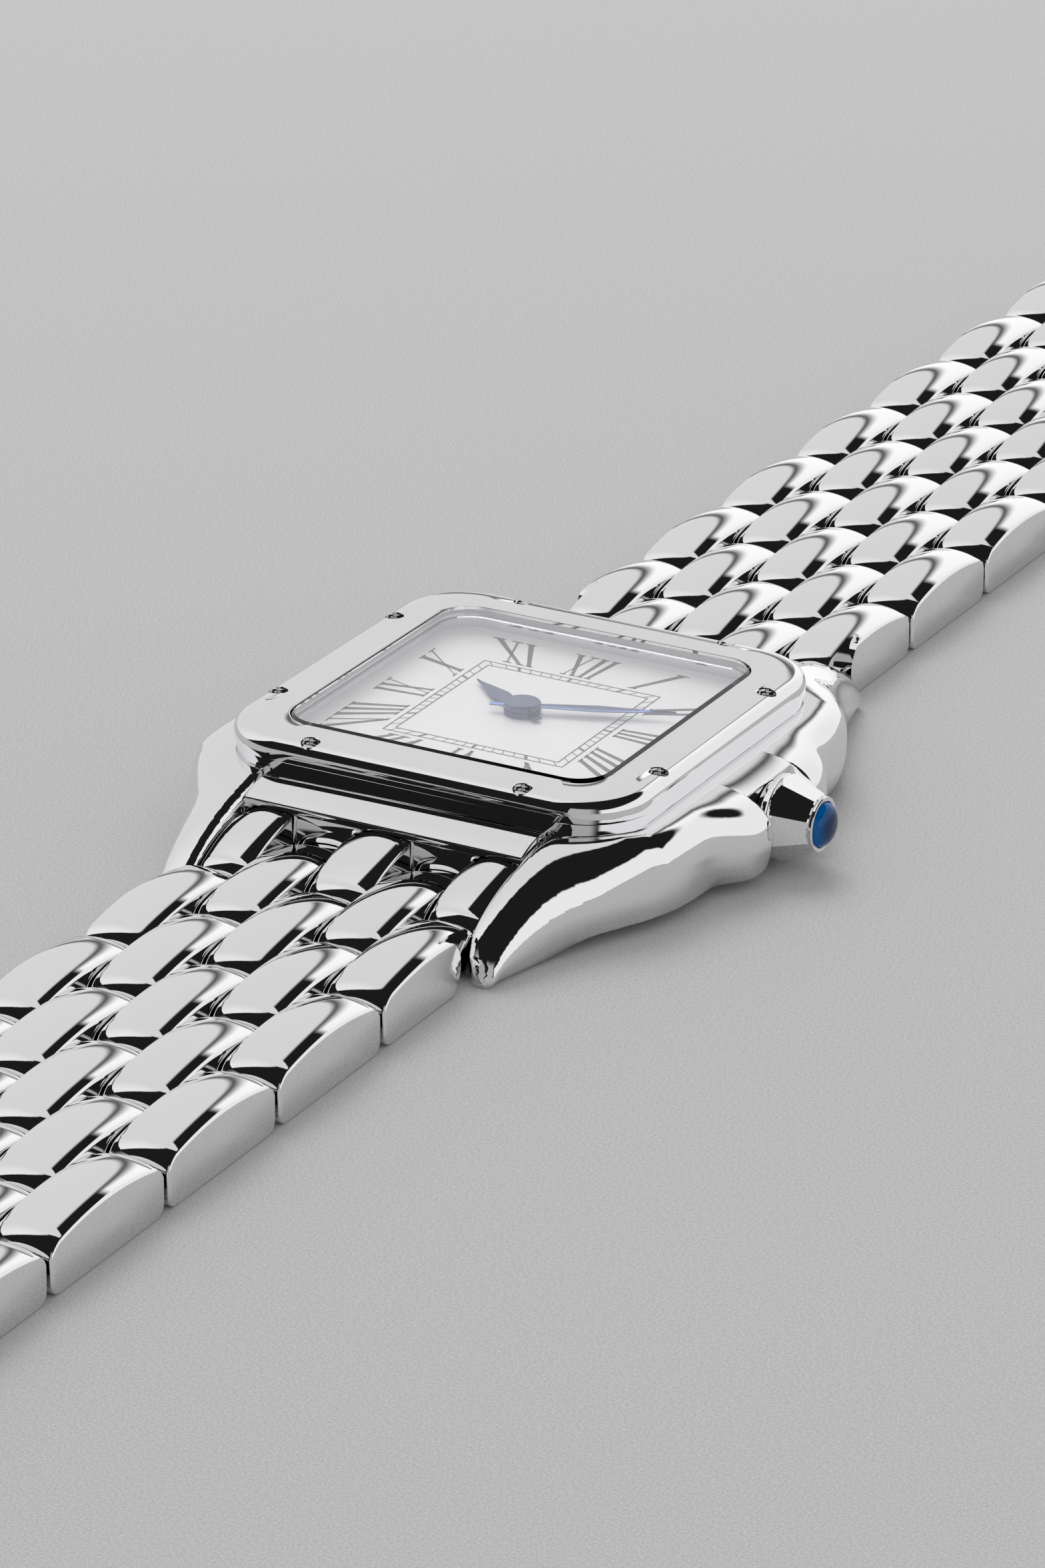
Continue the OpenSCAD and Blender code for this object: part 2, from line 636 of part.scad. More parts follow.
// Train from the rotor to the centre wheel, on arbors between the bridge and the main plate
arbor_d = 0.3;
arbor_end = plate_z + 0.35;
module at_third_wheel() {
    rotate([0, 0, third_angle]) translate([third_at, 0, 0]) children();
}
module at_rotor() {
    at_third_wheel() rotate([0, 0, rotor_angle]) translate([rotor_at, 0, 0]) children();
}
module arbor() {
    translate([0, 0, bridge_z + 0.05]) cylinder(d = arbor_d, h = arbor_end - bridge_z - 0.05);
}
module third_wheel() {
    color("gold") at_third_wheel() {
        gear(third_leaves, centre_z, turn = 180 / third_leaves);
        gear(third_teeth, train_z + 0.1, turn = rotor_angle);
        arbor();
    }
}
magnet_d = 1.1;
module rotor() {
    color("dimgray") at_rotor() {
        gear(rotor_leaves, train_z + 0.1, turn = 180 / rotor_leaves);
        arbor();
        translate([0, 0, train_z + 0.1 + wheel_t]) cylinder(d = magnet_d, h = centre_z - train_z - 0.1);
    }
}

// Motor: stator around the rotor, and the coil beside it. Both are fixed under the main plate
module stator() {
    color("slategray") at_rotor() translate([0, 0, plate_z - 0.35]) linear_extrude(0.35) difference() {
        square([2.4, 2.8], center = true);
        circle(d = magnet_d + 0.3);
    }
}
coil_at = [-5.4, 5.2];
coil_w = 1.3;
coil_l = 3.8;
coil_pocket = 0.2;
module coil() {
    color("chocolate") translate([coil_at[0], coil_at[1], plate_z + coil_pocket - coil_w / 2])
        rotate([90, 0, 0]) {
        cylinder(d = coil_w - 0.1, h = coil_l, center = true);
        for (side = [-1, 1])
            translate([0, 0, side * (coil_l - 0.3) / 2]) cube([coil_w, coil_w, 0.3], center = true);
    }
}
module battery() {
    color("lightgray") translate([battery_at[0], battery_at[1], back_t]) {
        cylinder(d = battery_d, h = battery_t * 0.8);
        cylinder(d = battery_d - 0.7, h = battery_t);
    }
}
board_t = 0.2;
module circuit_board() {
    color("darkgreen") translate([1.2, -7.4, plate_z - board_t]) {
        cube([6, 3.2, board_t]);
        translate([1.4, 0.9, -0.35]) cube([1.4, 1.4, 0.36]);
        translate([4, 0.9, -0.45]) cube([0.7, 1.6, 0.46]);
    }
}

// Main plate with a rim under the dial, and the holes that its wheels, battery, coil and stem need
slot_w = 1.6;
module main_plate() {
    color("goldenrod") difference() {
        union() {
            slab(plate_w, plate_l, pocket_r - fit, plate_z, plate_z + plate_t);
            at_minute_wheel() translate([0, 0, plate_z])
                cylinder(d = post_d, h = hour_wheel_z + 0.05 - plate_z);
            difference() {
                slab(plate_w, plate_l, pocket_r - fit, plate_z + plate_t - eps, dial_z);
                slab(plate_w - 1.6, plate_l - 1.6, pocket_r - 1, plate_z, dial_z + 1);
            }
        }
        translate([0, 0, plate_z - 1]) cylinder(d = cannon_d + 2 * running, h = 3);
        translate([battery_at[0], battery_at[1], plate_z - 1]) cylinder(d = battery_d + 0.3, h = 2);
        translate([coil_at[0] - coil_w / 2 - fit, coil_at[1] - coil_l / 2 - fit, plate_z - 1])
            cube([coil_w + 2 * fit, coil_l + 2 * fit, 1 + coil_pocket]);
        at_third_wheel() translate([0, 0, plate_z - 1]) cylinder(d = arbor_d + 2 * running, h = 1.5);
        at_rotor() translate([0, 0, plate_z - 1]) cylinder(d = arbor_d + 2 * running, h = 1.5);
        translate([stem_inner - 0.3, 0, crown_z]) rotate([0, 90, 0])
            cylinder(d = stem_d + 2 * running, h = 9);
        translate([groove_x - 0.3, -slot_w / 2, plate_z - 1]) cube([crown_travel + 1, slot_w, 1 + stem_d]);
    }
}

// Bridge that carries the lower pivots, on three pillars under the main plate
module train_bridge() {
    color("darkgoldenrod") difference() {
        union() {
            translate([-2.9, 1.2, bridge_z]) cube([8.6, 6.6, bridge_t]);
            translate([-1, -1, bridge_z]) cube([2, 3, bridge_t]);
            for (p = [[-2.4, 7.3], [5.2, 1.7], [5.2, 7.3]])
                translate([p[0], p[1], bridge_z]) cylinder(d = 0.9, h = plate_z - bridge_z);
        }
        at_third_wheel() cylinder(d = arbor_d + 2 * running, h = 5, center = true);
        at_rotor() cylinder(d = arbor_d + 2 * running, h = 5, center = true);
    }
}

// Stem with its setting lever, whose fork holds the groove and slides with the stem
fork_t = 0.24;
groove_d = 0.5;
module crown_stem() {
    color("silver") difference() {
        translate([stem_inner, 0, crown_z]) rotate([0, 90, 0])
            cylinder(d = stem_d, h = crown_x + 1.2 - stem_inner);
        translate([groove_x, 0, crown_z]) rotate([0, 90, 0]) difference() {
            cylinder(d = stem_d + 1, h = fork_t + 2 * running);
            translate([0, 0, -1]) cylinder(d = groove_d, h = 3);
        }
    }
}
module setting_lever() {
    color("gray") difference() {
        union() {
            translate([groove_x + running, -0.7, train_z + 0.3])
                cube([fork_t, 1.4, crown_z - train_z - 0.3]);
            translate([groove_x + running, -0.7, train_z + 0.3]) cube([1.1, 1.4, 0.2]);
        }
        translate([groove_x - 1, -groove_d / 2 - running, crown_z]) cube([3, groove_d + 2 * running, 2]);
        translate([groove_x - 1, 0, crown_z]) rotate([0, 90, 0])
            cylinder(d = groove_d + 2 * running, h = 3);
    }
}
module crown_tube() {
    color("silver") translate([tube_inner, 0, crown_z]) rotate([0, 90, 0]) difference() {
        cylinder(d = stem_d + 0.7, h = recess_x + 0.2 - tube_inner);
        translate([0, 0, -1]) cylinder(d = stem_d + 2 * running, h = 9);
    }
}

// Crown with eight flats that taper towards the blue stone
flats = 8;
flat_tilt = 24;
module crown() {
    color("silver") translate([crown_x, 0, crown_z]) rotate([0, 90, 0]) difference() {
        union() {
            cylinder(d = crown_d - 0.5, h = 0.3);
            translate([0, 0, 0.3 - eps]) cylinder(d = crown_d, h = crown_len - 0.3 + eps);
        }
        for (k = [0 : flats - 1]) rotate([0, 0, 360 * (k + 0.5) / flats]) {
            translate([crown_d / 2 * cos(180 / flats), -crown_d, 0]) cube([2, 2 * crown_d, crown_len + 1]);
            translate([crown_d / 2 * cos(180 / flats), 0, crown_len * 0.42]) rotate([0, -flat_tilt, 0])
                translate([0, -crown_d, 0]) cube([3, 2 * crown_d, crown_len * 2]);
        }
        translate([0, 0, -1]) cylinder(d = stem_d, h = 2.2);
        translate([0, 0, crown_len - 0.3]) cylinder(d = stone_d, h = 1);
    }
}
module crown_stone() {
    color("mediumblue") translate([crown_end - 0.3, 0, crown_z]) rotate([0, 90, 0]) rotate_extrude()
        polygon(concat([[0, 0], [stone_d / 2, 0]],
            [for (i = [0 : 9]) [stone_d / 2 * pow(cos(10 * i), 0.8), 0.3 + stone_h * sin(10 * i)]]));
}

// Case back with its gasket and screws
back_r = 2.2;
screw_head_t = 0.35;
module case_back() {
    color("silver") difference() {
        union() {
            slab(back_w, back_l, back_r, 0.25, back_t);
            slab(back_w - 0.5, back_l - 0.5, back_r - 0.25, 0, 0.3);
        }
        case_back_ring();
        for (p = back_screw_places()) translate([p[0], p[1], -1]) {
            cylinder(d = back_screw_d + 0.06, h = 1 + 0.05 + screw_head_t);
            cylinder(d = back_screw_d - 0.6 + 0.06, h = 3);
        }
    }
}
module case_back_ring() {
    difference() {
        slab(pocket_w + 0.7, pocket_l + 0.7, pocket_r + 0.35, back_t - 0.25, back_t);
        slab(pocket_w + 0.2, pocket_l + 0.2, pocket_r + 0.1, 0, back_t + 1);
    }
}
module case_back_gasket() {
    color("black") case_back_ring();
}
module case_back_screws() {
    color("gray") for (p = back_screw_places()) translate([p[0], p[1], 0.05]) difference() {
        union() {
            cylinder(d = back_screw_d, h = screw_head_t);
            cylinder(d = back_screw_d - 0.6, h = back_t + 0.7);
        }
        cube([2 * back_screw_d, 0.2, 0.2], center = true);
    }
}

// Clasp. Both parts hang on the last pins of the bracelet by knuckles in the second and fourth columns
six_end = pin_at(rows_six);
twelve_end = pin_at(rows_twelve);
clasp_w = 3 * column_pitch - column_gap;
blade_z = 0.25;
knuckle_r = 0.95;
module knuckles(d, reach) {
    for (c = [1, 3])
        difference() {
            union() {
                cross_pin(d, knuckle_r, column_x(c) - link_w / 2, column_x(c) + link_w / 2);
                translate([column_x(c) - link_w / 2, -d - reach, blade_z]) cube([link_w, reach, blade_t]);
            }
            cross_pin(d, pin_d / 2 + running, -bracelet_w, bracelet_w);
        }
}
catch_len = 5.5;
module clasp_catch() {
    color("silver") {
        difference() {
            union() {
                knuckles(six_end, half_pitch / 2 + 0.7);
                translate([-clasp_w / 2, -six_end - catch_len, blade_z])
                    cube([clasp_w, catch_len - half_pitch / 2 - 0.4, blade_t]);
            }
            translate([-clasp_w / 2 + 1, -six_end - catch_len + 1.2, -1]) cube([clasp_w - 2, 1.2, 4]);
        }
        cross_pin(six_end + catch_len, 0.55, -clasp_w / 2, clasp_w / 2, blade_z + 0.55);
    }
}
inner_z = pin_z + 0.35;
module clasp_outer_blade() {
    d = twelve_end + blade_len;
    color("silver") mirror([0, 1, 0]) {
        knuckles(twelve_end, half_pitch / 2 + 0.7);
        translate([-clasp_w / 2, -d + 1.2, blade_z])
            cube([clasp_w, blade_len - half_pitch / 2 - 1.6, blade_t]);
        for (x = [-clasp_w / 2, clasp_w / 2 - 2]) difference() {
            union() {
                cross_pin(d, knuckle_r, x, x + 2);
                translate([x, -d, blade_z]) cube([2, 1.4, blade_t]);
            }
            cross_pin(d, pin_d / 2, -clasp_w, clasp_w);
        }
        cross_pin(d, pin_d / 2, -clasp_w / 2, clasp_w / 2);
    }
}
module clasp_inner_blade() {
    d = twelve_end + blade_len;
    w = clasp_w - 4 - 2 * column_gap;
    color("silver") mirror([0, 1, 0]) {
        difference() {
            union() {
                cross_pin(d, knuckle_r, -w / 2, w / 2);
                translate([-w / 2, -d, inner_z]) cube([w, blade_len - 4, knuckle_r + pin_z - inner_z]);
            }
            cross_pin(d, pin_d / 2 + running, -clasp_w, clasp_w);
        }
    }
}

case_middle();
bezel();
bezel_screws();
crystal();
crystal_gasket();
dial();
hour_hand();
minute_hand();
cannon_pinion();
hour_wheel();
minute_wheel();
third_wheel();
rotor();
stator();
coil();
battery();
circuit_board();
main_plate();
train_bridge();
setting_lever();
crown();
crown_stone();
crown_stem();
crown_tube();
case_back();
case_back_gasket();
case_back_screws();
end_links(false);  // six_end_links
end_links(true);  // twelve_end_links
lug_pins();
clasp_catch();
clasp_outer_blade();
clasp_inner_blade();
for (i = [1 : rows_six]) bracelet_row(i);
for (i = [1 : rows_twelve]) at_end(true) bracelet_row(i);
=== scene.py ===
"""Square wristwatch on its open link bracelet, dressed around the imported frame.

Mesh code works in millimetres and the objects are in metres. X points to the crown, Y to the twelve and Z up.
"""

import math

import bmesh
import bpy
import numpy as np
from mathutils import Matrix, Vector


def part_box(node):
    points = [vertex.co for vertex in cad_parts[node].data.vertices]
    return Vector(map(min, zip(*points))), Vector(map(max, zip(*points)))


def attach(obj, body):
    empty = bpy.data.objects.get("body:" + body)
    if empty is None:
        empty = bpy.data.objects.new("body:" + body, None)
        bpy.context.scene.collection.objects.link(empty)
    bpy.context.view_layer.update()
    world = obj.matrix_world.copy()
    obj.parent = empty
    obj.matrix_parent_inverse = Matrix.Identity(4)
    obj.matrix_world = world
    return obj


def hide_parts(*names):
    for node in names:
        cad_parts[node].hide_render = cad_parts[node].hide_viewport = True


bl_info = {
    "name": "Square Wristwatch",
    "version": (1, 0, 0),
    "blender": (4, 5, 0),
    "location": "View3D > Sidebar > Watch",
    "description": "Builds a square wristwatch on a link bracelet around its packed frame",
    "category": "Object",
}

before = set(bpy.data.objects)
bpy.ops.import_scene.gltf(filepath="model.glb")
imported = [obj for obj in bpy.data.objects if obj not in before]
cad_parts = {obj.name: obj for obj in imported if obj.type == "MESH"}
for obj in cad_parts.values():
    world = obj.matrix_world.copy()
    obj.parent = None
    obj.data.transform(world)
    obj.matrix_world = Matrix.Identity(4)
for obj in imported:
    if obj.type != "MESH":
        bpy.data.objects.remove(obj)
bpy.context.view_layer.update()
MM = 0.001


def box_mm(node):
    """Lowest and highest corner of a node of the frame, in millimetres."""
    low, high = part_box(node)
    return np.array(low) / MM, np.array(high) / MM


CASE_LOW, CASE_HIGH = box_mm("case_middle")
BEZEL_LOW, BEZEL_HIGH = box_mm("bezel")
CRYSTAL_LOW, CRYSTAL_HIGH = box_mm("crystal")
DIAL_LOW, DIAL_HIGH = box_mm("dial")
CROWN_LOW, CROWN_HIGH = box_mm("crown")
CROWN_Z = (CROWN_LOW[2] + CROWN_HIGH[2]) / 2
STONE_END = box_mm("crown_stone")[1][0]
HOUR_FOOT = box_mm("hour_hand")[0][2]
MINUTE_FOOT, MINUTE_TOP = (corner[2] for corner in box_mm("minute_hand"))
LINK_TOP = box_mm("six_row_04")[1][2]


# Property groups: the sizes and colours that a user would change


def length(name, description, millimetres):
    """A length property whose default is given in millimetres."""
    default = float(millimetres) * MM
    return bpy.props.FloatProperty(
        name=name, description=description, default=default, unit="LENGTH", precision=5, min=0
    )


def placing(name, description, default, subtype, unit):
    """A property of three numbers that places or turns an object."""
    return bpy.props.FloatVectorProperty(
        name=name, description=description, default=default, subtype=subtype, unit=unit, size=3
    )


def colour(name, description, default):
    """A colour property."""
    return bpy.props.FloatVectorProperty(
        name=name, description=description, default=default, subtype="COLOR", size=3, min=0, max=1
    )


class WatchCaseSizes(bpy.types.PropertyGroup):
    """Sizes of the case, bezel and crystal."""

    rail_half: length("Half width", "Half the width over the side rails", -CASE_LOW[0])
    lug_tip: length("Lug tip", "Distance of the lug tips from the middle", 18.45)
    deck: length("Deck height", "Height of the deck under the bezel", BEZEL_LOW[2])
    rail_under: length("Rail underside", "Height of the rails' underside over the table", 0.55)
    bar_top: length("Shoulder height", "Height of the shoulder's front edge between the lugs", 3.8)
    bar_depth: length("Shoulder depth", "Depth of the shoulder in front of the bezel", 2.45)
    lug_gap: length("Lug gap", "Distance of a lug's inner face from the middle", 7.005)
    guard_reach: length("Guard reach", "How far the crown guards stand out", CASE_HIGH[0] + CASE_LOW[0])
    guard_length: length("Guard length", "Length of a crown guard", 2.9)
    bezel_roll: length("Bezel roll", "Radius of the bezel's rolled outer edge", 0.6)
    bezel_corner: length("Bezel corner", "Radius of the bezel's corners", 3.3)
    window_corner: length("Window corner", "Radius of the window's corners", 1.7)
    screw_width: length("Screw width", "Diameter of the bezel screws", 0.8)
    screw_spread: length("Screw spread", "Distance between the two screws of a side", 10.7)


class WatchLinkSizes(bpy.types.PropertyGroup):
    """Sizes of the bracelet's links."""

    pitch: length("Link pitch", "Length of one link and one gap", 8.66)
    gap: length("Link gap", "Gap between two links of a column", 0.3)
    across: length("Bracelet width", "Width over the five columns", 14.85)
    column_gap: length("Column gap", "Gap between two columns", 0.06)
    arch: length("Arch", "How far a link's top falls towards its ends", 0.55)
    dome: length("Dome", "How far a link's top falls towards its sides", 0.3)
    end_radius: length("End radius", "Radius of a link's upper ends", 0.95)
    low_radius: length("Lower radius", "Radius of a link's lower ends", 0.6)
    edge_radius: length("Edge radius", "Radius of a link's polished edges", 0.13)
    pin: length("Pin", "Diameter of the bracelet pins", 0.8)
    pin_height: length("Pin height", "Height of the pins over the table", 1.25)


class WatchDialSizes(bpy.types.PropertyGroup):
    """Layout of the dial's print."""

    track_x: length("Track half width", "Half the width of the square minute track", 4.15)
    track_y: length("Track half length", "Half the length of the square minute track", 4.35)
    track: length("Track depth", "Distance between the track's two lines", 0.42)
    numeral_x: length("Numeral reach across", "Where the numerals end at the sides", 7.35)
    numeral_y: length("Numeral reach along", "Where the numerals end at twelve and six", 7.6)
    line: length("Line", "Width of the track's lines", 0.07)


class WatchFinish(bpy.types.PropertyGroup):
    """Colours of the watch."""

    steel: colour("Steel", "Polished steel", (0.86, 0.86, 0.87))
    dial: colour("Dial", "Opaline dial lacquer", (0.93, 0.925, 0.935))
    ink: colour("Print", "Numerals and track", (0.02, 0.02, 0.025))
    hands: colour("Hands", "Blued steel", (0.05, 0.08, 0.17))
    stone: colour("Stone", "Blue cabochon", (0.0, 0.15, 0.5))
    brass: colour("Brass", "Gilt brass of the movement", (0.78, 0.56, 0.24))


CAMERA_PLACE = (0.12604, -0.2353, 0.11342)  # metres
CAMERA_TURN = (67.17854, -0.49887, 28.37914)  # degrees


class WatchStage(bpy.types.PropertyGroup):
    """Table and camera."""

    table: colour("Table", "Grained table top", (0.58, 0.58, 0.58))
    place: placing("Camera place", "Where the camera stands", CAMERA_PLACE, "TRANSLATION", "LENGTH")
    turn: placing("Camera turn", "How the camera is turned", np.radians(CAMERA_TURN), "EULER", "ROTATION")
    lens: bpy.props.FloatProperty(name="Lens", description="Focal length in millimetres", default=145.76)


# Mesh code in millimetres. A part is (points, faces), and a ring is an array of points


def turns(sides):
    """Angles of a circle's points, in radians."""
    return np.linspace(0, 2 * math.pi, sides, endpoint=False)


def rounded_rect(width, length_, radius, z, corner):
    """A ring round a rounded rectangle at height z, anticlockwise."""
    ring = []
    for quarter, (sx, sy) in enumerate(((1, 1), (-1, 1), (-1, -1), (1, -1))):
        x, y = sx * (width / 2 - radius), sy * (length_ / 2 - radius)
        for i in range(corner + 1):
            a = math.pi / 2 * (quarter + i / corner)
            ring.append((x + radius * math.cos(a), y + radius * math.sin(a), z))
    return np.array(ring)


def tube(rings, wrap=False):
    """Faces between rings of equal counts. wrap joins the last ring to the first, else both ends close."""
    count, n = len(rings), len(rings[0])
    faces = []
    for a in range(count if wrap else count - 1):
        b = (a + 1) % count
        faces += [(a * n + i, a * n + (i + 1) % n, b * n + (i + 1) % n, b * n + i) for i in range(n)]
    if not wrap:
        faces += [tuple(range(n))[::-1], tuple(range((count - 1) * n, count * n))]
    return np.concatenate(rings), faces


def slab(width, length_, radius, z0, z1, at):
    """A closed rounded block with a small bevel on its upper edge."""
    edge, corner = 0.04, 6
    rings = [
        rounded_rect(width, length_, radius, z0, corner),
        rounded_rect(width, length_, radius, z1 - edge, corner),
        rounded_rect(width - 0.6 * edge, length_ - 0.6 * edge, radius, z1 - 0.3 * edge, corner),
        rounded_rect(width - 2 * edge, length_ - 2 * edge, max(radius - edge, 0.01), z1, corner),
    ]
    points, faces = tube(rings)
    return points + (*at, 0), faces


def frame_ring(outer, inner, z0, z1, corner=10):
    """A closed ring block between two rounded rectangles, each (width, length, radius)."""
    rings = [rounded_rect(*outer, z0, corner), rounded_rect(*outer, z1, corner)]
    rings += [rounded_rect(*inner, z1, corner), rounded_rect(*inner, z0, corner)]
    return tube(rings, wrap=True)


def rod(p0, p1, radius, sides=32, bevel=0.0):
    """A closed round rod between two points, with its far edge bevelled."""
    p0, p1 = np.array(p0, float), np.array(p1, float)
    along = (p1 - p0) / np.linalg.norm(p1 - p0)
    side = np.cross(along, (0, 0, 1) if abs(along[2]) < 0.9 else (1, 0, 0))
    side /= np.linalg.norm(side)
    up = np.cross(along, side)
    spokes = np.cos(turns(sides))[:, None] * side + np.sin(turns(sides))[:, None] * up
    rings = [p0 + spokes * radius, p1 - along * bevel + spokes * radius]
    if bevel:
        rings.append(p1 + spokes * (radius - bevel))
    return tube(rings)


def lathe(profile, at, sides=32):
    """A closed turned form on an upright axis: profile is a list of (radius, z)."""
    circle = np.column_stack([np.cos(turns(sides)), np.sin(turns(sides)), np.zeros(sides)])
    return tube([circle * r + (*at, z) for r, z in profile])


def mirrored(part):
    """The part, mirrored to the other side of the watch."""
    return part[0] * (-1, 1, 1), [tuple(reversed(f)) for f in part[1]]


def solid(name, parts, normals=None, sharp=35.0):
    """A smooth-shaded mesh in metres out of parts in millimetres."""
    points, faces, start = [], [], 0
    for p, f in parts:
        points.append(p)
        faces += [tuple(i + start for i in face) for face in f]
        start += len(p)
    mesh = bpy.data.meshes.new(name)
    mesh.from_pydata((np.concatenate(points) * MM).tolist(), [], faces)
    work = bmesh.new()
    work.from_mesh(mesh)
    bmesh.ops.recalc_face_normals(work, faces=work.faces)
    work.to_mesh(mesh)
    work.free()
    mesh.polygons.foreach_set("use_smooth", [True] * len(mesh.polygons))
    if normals is None:
        mesh.set_sharp_from_angle(angle=math.radians(sharp))
    else:
        mesh.normals_split_custom_set_from_vertices(normals.tolist())
    return mesh


def place(name, mesh, look, body, replaces=(), slot=None, at=(0, 0, 0), even=True):
    """Puts a mesh in the scene with its finish, on its body. even keeps flat faces flat in their shading."""
    piece = bpy.data.objects.new(name, mesh)
    bpy.context.scene.collection.objects.link(piece)
    piece.location = np.array(at) * MM
    if not mesh.materials:
        mesh.materials.append(finish(look))
    if even:
        piece.modifiers.new("Even shading", "WEIGHTED_NORMAL").keep_sharp = True
    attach(piece, body)
    if replaces:
        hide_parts(*replaces)


def carve(mesh, cutters):
    """Cuts parts out of a mesh and gives back the new mesh."""
    target = bpy.data.objects.new("carve_target", mesh)
    tool = bpy.data.objects.new("carve_tool", solid("carve_tool", cutters))
    for item in (target, tool):
        bpy.context.scene.collection.objects.link(item)
    cut = target.modifiers.new("Cut", "BOOLEAN")
    cut.operation, cut.object, cut.solver = "DIFFERENCE", tool, "EXACT"
    bpy.context.view_layer.update()
    result = bpy.data.meshes.new_from_object(target.evaluated_get(bpy.context.evaluated_depsgraph_get()))
    result.set_sharp_from_angle(angle=math.radians(35))
    for item in (target, tool):
        bpy.data.objects.remove(item)
    return result


# The rails' form, as smooth blends of the same profiles that the source uses


# How far the rail's outer edge stands in from its full width, by the distance from the lug's tip
RAIL_INSET = (
    (0, 4.15), (1.4, 3.72), (3.4, 3.2), (5, 2.7), (6.5, 2.05), (7.8, 1.33), (9, 0.68), (10.3, 0.24),
    (12, 0.05), (14, 0), (30, 0),
)
# The lug's tip from above, by the distance from its inner face and from its end
TIP_CORNER = ((4, 1.8), (1.9, 0.55), (1.45, 0.16), (1, 0), (0.55, 0.1), (0.2, 0.42), (0, 1))
# The share of its reach that a crown guard stands out, by the distance from the recess in guard lengths
GUARD_SHARE = ((-1, 1), (0.3, 1), (0.45, 0.95), (0.6, 0.75), (0.8, 0.33), (0.95, 0.08), (1.05, 0), (9, 0))
FAR = 30  # well outside the watch
RAIL_INNER = 8.55  # the rail's inner face
STEP_INNER, STEP_OUTER = 8.9, 9.7  # along Y, where the inner face steps over to the lug's
LUG_START, LUG_END = 8.5, 12.5  # along Y, where the rail's section turns into the lug's
RAIL_WIDTH = 5.2
RAIL_SPREAD = 1.3  # how far the spread section stands out past the rail
LUG_FALL = 8.95  # the top falls to the tip over this length
LUG_SINK = (6.45, 2.45)  # the underside comes down to the table between these distances from the tip
WIDEST = 0.4  # the section is widest at this share of its height
TUCK = 0.4  # under its widest height the rail draws in by 1, and a lug by this much less
EDGE_WIDTH = 0.5  # rounding of the edges where the rail's faces meet
LEAST = 0.05  # keeps divisions away from zero
LUG_POWER, TOP_POWER = 2.3, 2.4  # how square the section is, where 2 is an ellipse
PROBE = 0.003  # distance over which slopes are measured


def smooth_curve(keys, t):
    """Values at t of the smooth curve through the keys, each (t, value)."""
    at = np.array([k[0] for k in keys], float)
    value = np.array([k[1] for k in keys], float)
    slope = np.zeros(len(keys))
    slope[1:-1] = (value[2:] - value[:-2]) / (at[2:] - at[:-2])
    i = np.clip(np.searchsorted(at, t, side="right") - 1, 0, len(keys) - 2)
    h = at[i + 1] - at[i]
    u = np.clip((t - at[i]) / h, 0, 1)
    a, b, da, db = value[i], value[i + 1], slope[i] * h, slope[i + 1] * h
    return a + da * u + (3 * (b - a) - 2 * da - db) * u**2 + (2 * (a - b) + da + db) * u**3


def evened(values, spread):
    """Values along an even row, each blended with its neighbours."""
    weights = np.exp(-0.5 * (np.arange(-3 * spread, 3 * spread + 1) / spread) ** 2)
    return np.convolve(np.pad(values, 3 * spread, mode="edge"), weights / weights.sum(), mode="valid")


def smooth_step(t, low, high):
    """Smooth step from 0 at low to 1 at high."""
    u = np.clip((t - low) / (high - low), 0, 1)
    return u * u * (3 - 2 * u)


def sampled_form(field, points):
    """A form out of a field that is below zero inside: its distance and direction from the field's slope."""
    value = field(points)
    slope = np.stack([(field(points + step) - value) / PROBE for step in PROBE * np.eye(3)], 1)
    steep = np.maximum(np.linalg.norm(slope, axis=1), 1e-6)
    return value / steep, slope / steep[:, None]


def polygon_form(polygon, points):
    """A form with a polygon as its plan: distance of points from it, negative inside, and its direction."""
    flat = points[:, :2]
    polygon = np.array(polygon, float)
    best, gap = np.full(len(flat), np.inf), np.zeros_like(flat)
    inside = np.zeros(len(flat), bool)
    for p, q in zip(polygon, np.roll(polygon, -1, 0)):
        e, w = q - p, flat - p
        away = w - np.clip(w @ e / max(e @ e, 1e-12), 0, 1)[:, None] * e
        square = (away**2).sum(1)
        near = square < best
        best[near], gap[near] = square[near], away[near]
        if abs(e[1]) > 1e-12:
            inside ^= ((p[1] <= flat[:, 1]) != (q[1] <= flat[:, 1])) & (w[:, 0] < w[:, 1] / e[1] * e[0])
    distance = np.sqrt(best) * np.where(inside, -1, 1)
    gap /= np.where(np.abs(distance) < 1e-9, 1e9, distance)[:, None]
    return distance, np.column_stack([gap, np.zeros(len(gap))])


def meet(a, b, k):
    """What two forms share, with the edge between them rounded over the width k where they cross."""
    (fa, ga), (fb, gb) = a, b
    k = k * np.clip(1 - (ga * gb).sum(1), 0.001, 1)
    h = np.maximum(k - np.abs(fa - fb), 0) / k
    w = np.clip(0.5 + (fa - fb) / (2 * k), 0, 1)[:, None]
    g = ga * w + gb * (1 - w)
    return np.maximum(fa, fb) + h * h * k / 4, g / np.maximum(np.linalg.norm(g, axis=1), 1e-9)[:, None]


def inverse(form):
    """The form turned inside out."""
    return -form[0], -form[1]


